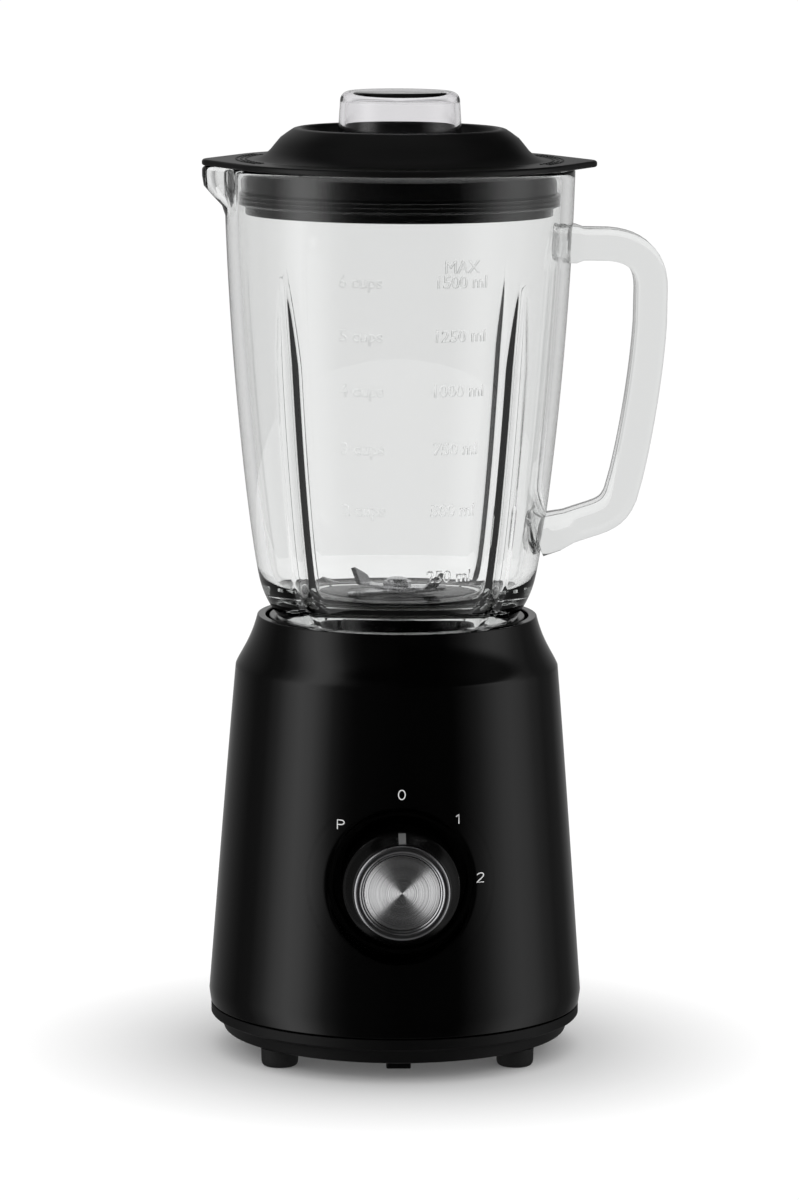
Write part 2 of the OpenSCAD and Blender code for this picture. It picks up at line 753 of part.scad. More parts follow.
module blade_nut() {
    color("silver") difference() {
        union() {
            translate([0, 0, nut_z]) cylinder(r = 6, h = 2.6, $fn = 6);
            translate([0, 0, nut_z + 2.5]) cylinder(r1 = 4.6, r2 = 2.4, h = 1.6);
        }
        translate([0, 0, nut_z - 1]) cylinder(r = 3 + fit, h = 4);
    }
}

module driven_coupling() {
    color([0.9, 0.9, 0.88]) difference() {
        turned([[0, coupling_z], [13.4, coupling_z], [14, coupling_z + 0.6], [14, 158.2],
            [13.4, 158.8], [0, 158.8]]);
        translate([0, 0, coupling_z - 1]) star(9.5, 0.45, star_h + 0.7);
        translate([0, 0, coupling_z + 4]) cylinder(r = spindle_r + fit, h = 12);
    }
}

module thrust_washer() {
    color("silver") ring(8, spindle_r + fit, 158.9, 0.9);
}

// ---- Lid and cap ----

flange_z = rim_z + 0.2;
flange_top = flange_z + flange_h;
dome_top = rim_z + dome_h;
skirt_r = 64;
seal_z = rim_z - 15;
filler_r = 26.2;

module lid() {
    color([0.04, 0.04, 0.042]) union() {
        turned(concat([[skirt_r - 2.4, rim_z - 18.5], [62.6, rim_z - 18.5], [62.6, seal_z + 5.6],
            [skirt_r, seal_z + 5.6], [skirt_r, flange_z + 0.5], [66, flange_z + 0.5],
            [66, flange_top], [60, flange_top]],
            curve([[57.6, flange_top + 0.3], [51.5, flange_top + 2.4], [51, dome_top - 1.2],
                [42.5, dome_top]], 8),
            [[40.6, dome_top], [39, dome_top - 0.9], [37.5, dome_top - 6.5], [36, dome_top - 7.7],
             [filler_r + 0.5, dome_top - 7.7], [filler_r, dome_top - 8.2], [filler_r, rim_z - 1],
             [filler_r + 2.2, rim_z - 1], [filler_r + 2.2, dome_top - 10], [36.4, dome_top - 10],
             [39.4, dome_top - 8.4], [41, dome_top - 2.4], [42.6, dome_top - 2.4],
             [47.2, dome_top - 5.2], [50.6, dome_top - 10.4], [54.4, flange_z + 0.9],
             [58, flange_z + 0.1], [skirt_r - 2.4, flange_z]]));
        translate([0, 0, flange_z]) linear_extrude(flange_h, convexity = 4) difference() {
            hull() {
                circle(r = 73, $fn = 96);
                for (side = [-1, 1]) translate([side * (spout_reach - 4), 0]) circle(r = 4, $fn = 32);
            }
            circle(r = 63, $fn = 96);
        }
    }
}

module lid_seal() {
    rib = 1.9;
    ribs = [for (i = [0:2]) each [[64.6, seal_z + i * rib], [65.5, seal_z + i * rib + 0.3],
        [65.5, seal_z + i * rib + 1], [64.6, seal_z + i * rib + 1.5]]];
    color([0.05, 0.05, 0.05]) turned(concat([[62.6 + fit, seal_z]], ribs, [[62.6 + fit, seal_z + 5.3]]));
}

module filler_cap() {
    seat = dome_top - 7.6;
    top = rim_z + cap_h;
    color([0.75, 0.72, 0.78, 0.4])
        turned(concat([[23.2, rim_z - 3.5], [filler_r - lift_gap, rim_z - 3.5],
            [filler_r - lift_gap, seat], [28, seat], [28, seat + 1.6], [25.3, seat + 2.2]],
            arc([20.4, top - 3.7], 3.7, 8, 90), [[0, top], [0, top - 2.4]],
            arc([19.4, top - 5], 2.6, 90, 8)));
}

base_shell();
base_cover();
foot_front_left();
foot_front_right();
foot_rear_left();
foot_rear_right();
cover_screws();
cord_gland();
rotary_switch();
switch_nut();
switch_leads();
suppression_capacitor();
motor_upper_bracket();
motor_lower_bracket();
motor_dampers();
motor_mount_screws();
motor_through_bolts();
stator_core();
field_coil_front();
field_coil_rear();
upper_bearing();
lower_bearing();
brush_holders();
carbon_brushes();
brush_springs();
motor_shaft();
armature_core();
armature_winding();
commutator();
cooling_fan();
drive_coupler();
knob_body();
knob_trim_ring();
knob_cap();
switch_spindle();
jar();
jar_handle();
jar_collar();
jar_gasket();
blade_base();
blade_bush();
spindle_seal();
blade_spindle();
upper_blade();
lower_blade();
blade_spacers();
blade_nut();
driven_coupling();
thrust_washer();
lid();
lid_seal();
filler_cap();
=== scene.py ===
import math

import bmesh
import bpy
from mathutils import Matrix, Quaternion, Vector, geometry


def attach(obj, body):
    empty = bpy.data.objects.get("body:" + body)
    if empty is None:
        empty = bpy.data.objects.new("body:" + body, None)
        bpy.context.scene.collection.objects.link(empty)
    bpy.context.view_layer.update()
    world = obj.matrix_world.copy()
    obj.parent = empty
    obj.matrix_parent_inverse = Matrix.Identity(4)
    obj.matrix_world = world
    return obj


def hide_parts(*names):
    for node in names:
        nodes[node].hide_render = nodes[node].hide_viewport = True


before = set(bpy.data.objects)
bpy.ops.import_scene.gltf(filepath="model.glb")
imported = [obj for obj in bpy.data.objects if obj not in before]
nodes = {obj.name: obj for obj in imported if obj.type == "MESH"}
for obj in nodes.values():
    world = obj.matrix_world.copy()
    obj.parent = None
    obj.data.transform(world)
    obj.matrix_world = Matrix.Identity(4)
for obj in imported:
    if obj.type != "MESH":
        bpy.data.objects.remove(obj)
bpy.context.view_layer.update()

mm = 0.001
scene = bpy.context.scene

# Camera: a long lens, a little higher than the lid
cameraSettings = {
    "place": (-68.5, -2178.9, 508),
    "aim": (1, 0, 186),
    "lens": 160.9,
    "roll": 0.35,
}


def makeCamera(settings):
    camera = bpy.data.objects.new("Camera", bpy.data.cameras.new("Camera"))
    scene.collection.objects.link(camera)
    place, aim = Vector(settings["place"]) * mm, Vector(settings["aim"]) * mm
    roll = Quaternion((0, 0, 1), math.radians(settings["roll"]))
    camera.location = place
    camera.rotation_mode = "QUATERNION"
    camera.rotation_quaternion = (aim - place).to_track_quat("-Z", "Y") @ roll
    camera.data.sensor_width = 36
    camera.data.lens = settings["lens"]
    camera.data.clip_start, camera.data.clip_end = 0.05, 300
    scene.camera = camera


makeCamera(cameraSettings)


# Shaping

def bezier(a, b, c, d, steps):  # points along a curve, without its first
    knots = [Vector(p) for p in (a, b, c, d)]
    return [tuple(p) for p in geometry.interpolate_bezier(*knots, steps + 1)[1:]]


def blend(low, high, value):  # 0 below low, 1 above high, smooth between
    t = min(1, max(0, (value - low) / (high - low)))
    return t * t * (3 - 2 * t)


def reach(line, z):  # radius of an outline at a height
    for (r0, z0), (r1, z1) in zip(line, line[1:]):
        if z0 <= z <= z1:
            return r0 + (r1 - r0) * (z - z0) / (z1 - z0)
    return line[0][0] if z < line[0][1] else line[-1][0]


def wire(corners, closed=True, segments=5):  # a corner is radius, height and how far it is rounded
    bm = bmesh.new()
    verts = [bm.verts.new((c[0] * mm, 0, c[1] * mm)) for c in corners]
    for a, b in zip(verts, verts[1:] + (verts[:1] if closed else [])):
        bm.edges.new((a, b))
    for vert, corner in zip(verts, corners):
        if len(corner) > 2:
            bmesh.ops.bevel(bm, geom=[vert], offset=corner[2] * mm, segments=segments,
                            profile=0.5, affect="VERTICES", material=-1)
    return bm


def turned(corners, steps=128, segments=5):  # solid of revolution about Z
    onAxis = corners[0][0] == 0 and corners[-1][0] == 0
    bm = wire(corners, not onAxis, segments)
    bmesh.ops.spin(bm, geom=bm.verts[:] + bm.edges[:], cent=(0, 0, 0), axis=(0, 0, 1),
                   angle=math.tau, steps=steps, use_merge=True)
    return tidied(bm)


def tidied(bm):
    bmesh.ops.remove_doubles(bm, verts=bm.verts[:], dist=0.001 * mm)
    bmesh.ops.recalc_face_normals(bm, faces=bm.faces[:])
    return bm


def moved(bm, *places):  # each place is a matrix, the last one is used first
    for place in reversed(places):
        bmesh.ops.transform(bm, matrix=place, verts=bm.verts[:])
    return bm


def shift(x, y, z):
    return Matrix.Translation(Vector((x, y, z)) * mm)


def spun(angle, axis="Z"):
    return Matrix.Rotation(math.radians(angle), 4, axis)


def box(low, high, rounding=0):
    bm = bmesh.new()
    bmesh.ops.create_cube(bm, size=1)
    size = [(b - a) for a, b in zip(low, high)]
    middle = [(a + b) / 2 for a, b in zip(low, high)]
    moved(bm, shift(*middle), Matrix.Diagonal((*[s * mm for s in size], 1)))
    if rounding:
        bmesh.ops.bevel(bm, geom=bm.edges[:], offset=rounding * mm, segments=3, profile=0.5,
                        affect="EDGES", material=-1)
    return bm


def drum(radius, low, high, steps=48):
    return turned([(0, low), (radius, low), (radius, high), (0, high)], steps)


def gathered(parts):  # several loose solids in one mesh
    whole = bmesh.new()
    for part in parts:
        mesh = toMesh(part, "part")
        whole.from_mesh(mesh)
        bpy.data.meshes.remove(mesh)
    return whole


def toMesh(bm, name):
    mesh = bpy.data.meshes.new(name)
    bm.to_mesh(mesh)
    bm.free()
    return mesh


def carved(bm, tool, operation="DIFFERENCE"):  # exact Boolean of two meshes
    pair = []
    for shape in (bm, tool):
        pair.append(bpy.data.objects.new("carving", toMesh(shape, "carving")))
        scene.collection.objects.link(pair[-1])
    modifier = pair[0].modifiers.new("Carve", "BOOLEAN")
    modifier.operation, modifier.solver, modifier.object = operation, "EXACT", pair[1]
    bpy.context.view_layer.update()
    evaluated = pair[0].evaluated_get(bpy.context.evaluated_depsgraph_get())
    result = bmesh.new()
    result.from_mesh(evaluated.to_mesh())
    evaluated.to_mesh_clear()
    for used in pair:
        mesh = used.data
        bpy.data.objects.remove(used)
        bpy.data.meshes.remove(mesh)
    bmesh.ops.remove_doubles(result, verts=result.verts[:], dist=0.0005 * mm)
    return result


def makePiece(bm, name, finish, body, replaced=(), sharp=32, weighted=True):
    mesh = toMesh(bm, name)
    mesh.shade_smooth()
    mesh.set_sharp_from_angle(angle=math.radians(sharp))
    mesh.materials.append(finishes[finish].material)
    piece = bpy.data.objects.new(name, mesh)
    scene.collection.objects.link(piece)
    if weighted:
        modifier = piece.modifiers.new("Weighted normals", "WEIGHTED_NORMAL")
        modifier.keep_sharp = True
    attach(piece, body)
    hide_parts(*replaced)
    print("made", name, len(mesh.polygons))
    return piece


# Finishes

class Value:
    # a socket of a finish, for use in sums
    def __init__(self, finish, socket):
        self.finish, self.socket = finish, socket

    def math(self, operation, *values):
        return self.finish.add("Math", {"operation": operation}, dict(enumerate(values)))

    def __add__(self, other): return self.math("ADD", self, other)
    def __radd__(self, other): return self.math("ADD", other, self)
    def __sub__(self, other): return self.math("SUBTRACT", self, other)
    def __rsub__(self, other): return self.math("SUBTRACT", other, self)
    def __mul__(self, other): return self.math("MULTIPLY", self, other)
    def __rmul__(self, other): return self.math("MULTIPLY", other, self)
    def __truediv__(self, other): return self.math("DIVIDE", self, other)
    def __pow__(self, other): return self.math("POWER", self, other)


class Finish:
    def __init__(self, name, look, kind="BsdfPrincipled"):
        self.material = bpy.data.materials.new(name)
        self.material.use_nodes = True
        self.tree = self.material.node_tree
        self.tree.nodes.clear()
        self.output = self.tree.nodes.new("ShaderNodeOutputMaterial")
        self.shader = self.tree.nodes.new("ShaderNode" + kind)
        self.tree.links.new(self.shader.outputs[0], self.output.inputs["Surface"])
        self.place = self.add("TexCoord", output="Object")
        self.look(look)

    def add(self, kind, settings=None, values=None, output=0):
        node = self.tree.nodes.new("ShaderNode" + kind)
        for name, value in (settings or {}).items():
            if name == "stops":
                self.setStops(node.color_ramp, value)
            else:
                setattr(node, name, value)
        for name, value in (values or {}).items():
            self.feed(node.inputs[name], value)
        return Value(self, node.outputs[output])

    def setStops(self, ramp, stops):
        ramp.elements.remove(ramp.elements[-1])
        for i, (at, value) in enumerate(stops):
            element = ramp.elements.new(at) if i else ramp.elements[0]
            element.position, element.color = at, (value, value, value, 1)

    def feed(self, socket, value):
        if isinstance(value, Value):
            self.tree.links.new(value.socket, socket)
        else:
            socket.default_value = value

    def look(self, values):
        for name, value in values.items():
            self.feed(self.shader.inputs[name], value)

    def noise(self, scale, detail=2, stretch=(1, 1, 1)):
        spread = self.add("VectorMath", {"operation": "MULTIPLY"}, {0: self.place, 1: stretch})
        return self.add("TexNoise", None, {"Vector": spread, "Scale": scale, "Detail": detail})

    def axes(self):
        split = self.add("SeparateXYZ", None, {0: self.place}).socket.node
        return [Value(self, split.outputs[i]) for i in range(3)]

    def mix(self, factor, a, b):
        return self.add("Mix", {"data_type": "RGBA"}, {0: factor, 6: (*a, 1), 7: (*b, 1)}, output=2)

    def bump(self, height, distance, strength=1):
        bumped = self.add("Bump", None, {"Height": height, "Distance": distance, "Strength": strength})
        self.look({"Normal": bumped})


def blackFinish(name, shade, roughness, spread, grain, depth, specular=0.5, skirt=None):
    # dark moulded surface: a base shade, a roughness that wanders, and a grain
    finish = Finish(name, {"IOR": 1.5, "Specular IOR Level": specular})
    cloud = finish.noise(28, 4)
    dark, light = [c * 0.85 for c in shade], [c * 1.2 for c in shade]
    dullness = roughness - spread / 2 + cloud * spread
    if skirt:  # glossier below a height
        isSkirt = finish.add("Math", {"operation": "LESS_THAN"}, {0: finish.axes()[2], 1: skirt["top"] * mm})
        dullness = dullness - isSkirt * skirt["gloss"]
    finish.look({"Base Color": finish.mix(cloud, dark, light), "Roughness": dullness})
    finish.bump(finish.noise(grain, 3), depth)
    return finish


def metalFinish(name, shade, roughness, stretch, scale=900, depth=0.00001):
    # ground or drawn metal: streaks along one direction in roughness and height
    finish = Finish(name, {"Metallic": 1})
    streaks = finish.noise(scale, 3, stretch)
    cloud = finish.noise(60, 3)
    finish.look({
        "Base Color": finish.mix(cloud, [c * 0.9 for c in shade], shade),
        "Roughness": roughness * 0.75 + streaks * (roughness * 0.5),
    })
    finish.bump(streaks, depth)
    return finish


finishSettings = {
    "glossBlack": {"shade": (0.0006, 0.0006, 0.0006), "roughness": 0.13, "spread": 0.05, "grain": 420,
                   "depth": 0.0000015},
    "matteBlack": {"shade": (0.002, 0.002, 0.0021), "roughness": 0.5, "spread": 0.12, "grain": 2600,
                   "depth": 0.00002, "specular": 0.35},
    "satinBlack": {"shade": (0.003, 0.003, 0.0031), "roughness": 0.34, "spread": 0.08, "grain": 3000,
                   "depth": 0.000012},
    "skirtBlack": {"shade": (0.0012, 0.0012, 0.0012), "roughness": 0.2, "spread": 0.06, "grain": 900,
                   "depth": 0.000004},
    "baseDisc": {"shade": (0.002, 0.002, 0.002), "roughness": 0.16, "spread": 0.05, "grain": 900,
                 "depth": 0.000003, "specular": 0.2},
    "sealBlack": {"shade": (0.0015, 0.0015, 0.0015), "roughness": 0.24, "spread": 0.08, "grain": 900,
                  "depth": 0.000004},
    "rubberBlack": {"shade": (0.009, 0.009, 0.009), "roughness": 0.75, "spread": 0.15, "grain": 1800,
                    "depth": 0.00004},
    "pointerGrey": {"shade": (0.11, 0.11, 0.11), "roughness": 0.25, "spread": 0.06, "grain": 900,
                    "depth": 0.000004},
    "lidBlack": {"shade": (0.003, 0.003, 0.0031), "roughness": 0.35, "spread": 0.06, "grain": 3000,
                 "depth": 0.000008, "skirt": {"top": 363.5, "gloss": 0.14}},
}
finishes = {name: blackFinish(name, **s) for name, s in finishSettings.items()}


def clearFinish(name, tint, depthShade, ior, density, wave, depth):
    # pressed glass or clear plastic: even tint in depth, and a slow ripple on its skin
    finish = Finish(name, {"Transmission Weight": 1, "IOR": ior, "Roughness": 0.0,
                           "Base Color": (*tint, 1)})
    finish.bump(finish.noise(wave, 2, (1, 1, 0.35)), depth)
    volume = finish.add("VolumeAbsorption", None, {"Color": (*depthShade, 1), "Density": density})
    finish.tree.links.new(volume.socket, finish.output.inputs["Volume"])
    return finish


clearSettings = {
    "clearGlass": {"tint": (0.99, 0.993, 0.991), "depthShade": (0.34, 0.365, 0.35), "ior": 1.5, "density": 12,
                   "wave": 26, "depth": 0.00008},
    "clearPlastic": {"tint": (0.98, 0.976, 0.982), "depthShade": (0.32, 0.28, 0.36), "ior": 1.49,
                     "density": 26, "wave": 30, "depth": 0.00003},
}
finishes.update({name: clearFinish(name, **s) for name, s in clearSettings.items()})


discSettings = {
    "centre": (0, 81),
    "groove": 0.21,         # width of one groove
    "spread": 0.62,         # how far its two sides tip in and out
    "shades": ((0.84, 0.84, 0.85), (0.9, 0.9, 0.91)),
}


def brushedDiscFinish(name, centre, groove, spread, shades):
    # circular brushing: the grooves run round the dial's axis, so the skin tips in and out along the radius
    finish = Finish(name, {"Metallic": 1})
    x, _, z = finish.axes()
    across, up = x - centre[0] * mm, z - centre[1] * mm
    radius = (across * across + up * up) ** 0.5 + 0.00001  # never 0, as it divides
    wander = finish.add("TexNoise", {"noise_dimensions": "1D"}, {"W": radius, "Scale": 2500, "Detail": 1})
    waves = finish.add("Math", {"operation": "SINE"}, {0: radius * (math.tau / (groove * mm)) + wander * 9})
    tilt = finish.add("Math", {"operation": "SIGN"}, {0: waves}) * (wander * 0.5 + 0.75) * spread
    aside = finish.add("CombineXYZ", None, {0: across / radius * tilt, 1: -1, 2: up / radius * tilt})
    facing = finish.add("VectorTransform", {"vector_type": "NORMAL", "convert_from": "OBJECT",
                                            "convert_to": "WORLD"}, {0: aside})
    fine = finish.noise(300, 2)
    finish.look({
        "Base Color": finish.mix(fine, *shades),
        "Roughness": 0.2 + fine * 0.06,
        "Normal": facing,
    })
    return finish


finishes["brushedDisc"] = brushedDiscFinish("brushedDisc", **discSettings)
finishes["chromeTrim"] = metalFinish("chromeTrim", (0.9, 0.9, 0.92), 0.3, (1, 1, 1), 200, 0.000001)
finishes["bladeSteel"] = metalFinish("bladeSteel", (0.62, 0.62, 0.63), 0.26, (1, 0.05, 1), 1800, 0.000004)


def printFinish(name, shade):
    finish = Finish(name, {})
    speck = finish.noise(2500, 2)
    finish.look({"Base Color": finish.mix(speck, [c * 0.93 for c in shade], shade),
                 "Roughness": 0.42 + speck * 0.1})
    finish.bump(speck, 0.000004)
    return finish


finishes["whitePrint"] = printFinish("whitePrint", (0.8, 0.8, 0.8))
print("finishes ready")


# Motor base

baseSettings = {
    "foot": (76.2, 19),
    "cone": ((76.9, 24), (74, 62), (69.7, 120), (66.3, 159)),
    "neck": ((66.2, 159.8), (64.4, 164.2), (60.2, 169), (57.5, 179.6)),
    "top": 180.4,
    "wellRadius": 54,
    "wellFloor": 143,
    "dialZ": 81,
    "glandZ": 34,
    "recessFace": 66,      # flat floor round the dial's opening, in front of the drive axis
    "openingRadius": 27.2,
    "openingFloor": 54,
    "recessStart": 28.6,   # radius where that floor begins to rise
    "recessRise": 0.9,
    "lipSoftness": 1.0,
    "recessEnd": 38.6,
    "steps": 360,
    "cutterRings": {"first": 27.55, "apart": 0.35, "count": 25},
}
coneLine = [baseSettings["cone"][0]] + bezier(*baseSettings["cone"], 44)
neckLine = [baseSettings["neck"][0]] + bezier(*baseSettings["neck"], 14)
dialZ = baseSettings["dialZ"]
dialPlace = shift(0, 0, dialZ) @ spun(90, "X")  # turns Z to the front, -Y
rearPlace = shift(0, 0, baseSettings["glandZ"]) @ spun(-90, "X")  # turns Z to the rear, +Y
coverScrews = [(x, y) for x in (-26, 26) for y in (-58, 58)]
motorScrews = [(x, y) for x in (-42, 42) for y in (-24, 24)]
keyTurns = range(45, 360, 90)  # of the keys in the well, and of the collar's notches that pass them


def shellFront(x, z):  # how far in front of the drive axis the shell's skin is
    return math.sqrt(max(1, reach(coneLine, z) ** 2 - x * x))


def recessSkin(x, z):  # the dish round the dial, with a soft lip into the shell
    settings = baseSettings
    radius = math.hypot(x, z - dialZ)
    front = shellFront(x, z)
    dish = settings["recessFace"] + settings["recessRise"] * max(0, radius - settings["recessStart"]) ** 2
    soft = settings["lipSoftness"]
    low = min(front, dish)
    return low - soft * math.log(math.exp((low - front) / soft) + math.exp((low - dish) / soft))


def draped(bm, skin, chosen):  # moves chosen vertices along Y on to a skin
    for vert in bm.verts:
        x, front, z = vert.co.x / mm, -vert.co.y / mm, vert.co.z / mm
        if chosen(front):
            vert.co.y = -skin(x, z) * mm
    return bm


def makeBaseShell(settings):
    top, well, floor = settings["top"], settings["wellRadius"], settings["wellFloor"]
    skin = [(73.4, 19), (*settings["foot"], 0.5), *coneLine, *neckLine, (57.35, top, 0.45), (well, top, 0.5),
            (well, floor, 0.8), (16, floor, 0.4), (16, 140), (56.5, 140), (56.5, 170), (63, 158.6), (74.1, 24)]
    shell = turned(skin, settings["steps"])
    # a cup behind the dial, whose end follows the inside of the skin
    cup = turned([(0, 51.8), (30, 51.8), (30, 60), (34.6, 60), (34.6, 80), (31, 80), (27, 80), (0, 80)], 128)
    cup = draped(moved(cup, dialPlace), lambda x, z: shellFront(x, z) - 1.4, lambda front: front > 79)
    bosses = []
    for x, y in coverScrews:
        bosses.append(moved(drum(4.6, 19.5, 41), shift(x, y, 0)))
        turn = math.degrees(math.atan2(y, x))
        bosses.append(moved(box((66, -1.2, 23.3), (74.2, 1.2, 39.7)), spun(turn)))
    bosses += [moved(drum(5.5, 128, 141), shift(x, y, 0)) for x, y in motorScrews]
    bosses += [moved(box((50.8, -4, 142.5), (55, 4, 157.5), 0.6), spun(turn)) for turn in keyTurns]
    shell = carved(shell, cup, "UNION")
    shell = carved(shell, gathered(bosses), "UNION")

    # the dish: rings of the cutter drop on to its skin, and the cutter's edge on to the shell's
    rings = settings["cutterRings"]
    dish = [(rings["first"] + rings["apart"] * i, 75) for i in range(rings["count"])]
    opening, back, end = settings["openingRadius"], settings["openingFloor"], settings["recessEnd"]
    cutter = turned([(0, 49), (5.05, 49), (5.05, back), (opening, back, 0.4), (opening, 65.7), *dish, (end, 78),
                     (end + 0.1, 95), (0, 95)], 256)
    moved(cutter, dialPlace)
    draped(cutter, lambda x, z: recessSkin(x, z) - 0.02, lambda front: 74 < front < 76)
    draped(cutter, lambda x, z: shellFront(x, z) + 0.02, lambda front: 77 < front < 79)
    shell = carved(shell, cutter)
    holes = [moved(drum(6.05, 60, 90), rearPlace)]
    holes += [moved(drum(1.95, 15, 36, 24), shift(x, y, 0)) for x, y in coverScrews]
    holes += [moved(drum(1.95, 120, 137.5, 24), shift(x, y, 0)) for x, y in motorScrews]
    shell = carved(shell, gathered(holes))
    makePiece(shell, "baseShell", "glossBlack", "motor_base", ["base_shell"])


makeBaseShell(baseSettings)

footX, footY = 48, 40
coverSettings = {
    "outline": [(0, 7.5), (70, 7.5, 0.7), (70.7, 8.2), (72.3, 12.5), (73.5, 13.6, 0.4), (75.6, 14, 0.4),
                (76.1, 14.6), (76.1, 18.5, 0.3), (72.9, 18.5), (72.9, 23), (70.6, 23), (70.6, 13.5),
                (68.6, 10), (0, 10)],
    "slots": 18,
    "slotReach": (14, 32),
}


def makeBaseCover(settings):
    cover = turned(settings["outline"], 256)
    posts = [moved(drum(6, 8.5, 18.9), shift(x, y, 0)) for x, y in coverScrews]
    posts.append(box((-5, -56, 2), (5, -50, 8), 0.6))
    cover = carved(cover, gathered(posts), "UNION")
    low, high = settings["slotReach"]
    cuts = [moved(box((low, -1.4, 6), (high, 1.4, 11.5)), spun(i * 360 / settings["slots"]))
            for i in range(settings["slots"])]
    for x, y in coverScrews:
        cuts.append(moved(drum(4.2, 6, 13.5), shift(x, y, 0)))
        cuts.append(moved(drum(2.1, 13, 25, 24), shift(x, y, 0)))
    cuts += [moved(drum(3.05, 6, 12), shift(x, y, 0)) for x in (-footX, footX) for y in (-footY, footY)]
    makePiece(carved(cover, gathered(cuts)), "baseCover", "matteBlack",
              "motor_base", ["base_cover"])


makeBaseCover(coverSettings)

footOutline = [(0, 0), (5.9, 0, 0.4), (7.0, 0.5, 0.5), (7.5, 1.7, 0.6), (7.7, 7.45), (3, 7.45), (3, 10.4),
               (3.8, 10.7, 0.3), (3, 12.6, 0.5), (0, 12.6)]
for end, y in (("front", -footY), ("rear", footY)):
    for side, x in (("left", -footX), ("right", footX)):
        foot = moved(turned(footOutline, 64), shift(x, y, 0))
        makePiece(foot, f"foot{end.title()}{side.title()}", "rubberBlack",
                  "motor_base", [f"foot_{end}_{side}"])

glandOutline = [(3.5, 68), (8, 68, 0.3), (8, 70.2), (6, 71.2), (6, 76.6), (8, 77.2), (8, 78.6, 0.5),
                (6.9, 79.6, 0.5), (4.3, 79.6, 0.4), (3.5, 78.8)]
gland = moved(turned(glandOutline, 64), rearPlace)
makePiece(gland, "cordGland", "matteBlack", "motor_base", ["cord_gland"])


# Dial

dialSettings = {
    "face": 88.5,
    "depth": 24,
    "bore": 3.05,
    "skirt": ((23.6, 78), (23.4, 81), (21.3, 83.5), (19.8, 86.1)),
    "rib": {"width": 3, "low": 15, "high": 23},
    "labelSize": 3.7,
    "labelStroke": 0.4,
    "labelDepth": 0.12,    # share of a stroke's depth that is kept
    "labels": (("P", -24.2, 23.8), ("0", 0.2, 36.5), ("1", 23.1, 26.1), ("2", 32.1, 1.9)),
}


def makeDial(settings):
    face = settings["face"]
    skirt = [settings["skirt"][0]] + bezier(*settings["skirt"], 14)
    back = face - settings["depth"]
    outline = [(0, 62.4), (5.5, 62.4), (5.5, face - 5), (17.4, face - 5), (21.4, face - 9.5), (21.6, back, 0.3),
               (23.6, back, 0.5), *skirt, (19.3, face - 2, 0.3), (0, face - 2)]
    body = carved(turned(outline, 160), drum(settings["bore"], 60, 76))
    rib = settings["rib"]
    half = rib["width"] / 2
    pointer = box((-half, rib["low"], 76), (half, rib["high"], face - 2.2))
    raised = [(0, 76), *[(r + 0.3, f + 0.2) for r, f in skirt], (18, face - 1.9), (0, face - 1.9)]
    pointer = carved(pointer, turned(raised, 160), "INTERSECT")
    bmesh.ops.bevel(pointer, geom=[e for e in pointer.edges if e.calc_face_angle(0) > 1],
                    offset=0.15 * mm, segments=2, profile=0.5, affect="EDGES", material=-1)
    makePiece(moved(body, dialPlace), "knobBody", "skirtBlack", "dial", ["knob_body"])
    makePiece(moved(pointer, dialPlace), "knobPointer", "pointerGrey", "dial")
    ring = turned([(15.4, face - 1.9), (19.2, face - 1.9), (19.2, face - 0.5, 0.5), (18.1, face, 0.4),
                   (17, face, 0.35), (16.4, face - 0.55, 0.25), (15.95, face - 0.55, 0.15), (15.4, face - 1.0)],
                  160, 6)
    makePiece(moved(ring, dialPlace), "knobTrimRing", "chromeTrim", "dial", ["knob_trim_ring"])
    disc = turned([(0, face - 1.9), (15.2, face - 1.9), (15.2, face - 0.75, 0.25), (0, face - 0.75)], 160)
    makePiece(moved(disc, dialPlace), "knobCap", "brushedDisc", "dial", ["knob_cap"])


def asMesh(curve):  # the solid that a curve or text makes
    holder = bpy.data.objects.new("holder", curve)
    scene.collection.objects.link(holder)
    bpy.context.view_layer.update()
    evaluated = holder.evaluated_get(bpy.context.evaluated_depsgraph_get())
    bm = bmesh.new()
    bm.from_mesh(evaluated.to_mesh())
    evaluated.to_mesh_clear()
    bpy.data.objects.remove(holder)
    bpy.data.curves.remove(curve)
    bmesh.ops.remove_doubles(bm, verts=bm.verts[:], dist=0.002 * mm)
    bmesh.ops.triangulate(bm, faces=[f for f in bm.faces if len(f.verts) > 4])
    bmesh.ops.recalc_face_normals(bm, faces=bm.faces[:])
    return bm


def letters(text, size, thickness, rounding):  # solid letters about the origin, facing +Z
    capitalShare = 0.72  # height of a capital in the font, as a share of its size
    curve = bpy.data.curves.new("letters", "FONT")
    curve.body, curve.size = text, size * mm / capitalShare
    curve.align_x, curve.align_y = "CENTER", "CENTER"
    curve.extrude, curve.bevel_depth, curve.resolution_u = thickness / 2 * mm, rounding * mm, 4
    return asMesh(curve)


def strokes(lines, thickness):  # round-ended strokes in the XY plane
    curve = bpy.data.curves.new("strokes", "CURVE")
    curve.dimensions, curve.bevel_depth, curve.bevel_resolution = "3D", thickness / 2 * mm, 2
    curve.use_fill_caps = True
    for line in lines:
        spline = curve.splines.new("POLY")
        spline.points.add(len(line) - 1)
        for point, (x, y) in zip(spline.points, line):
            point.co = (x * mm, y * mm, 0, 1)
    return asMesh(curve)


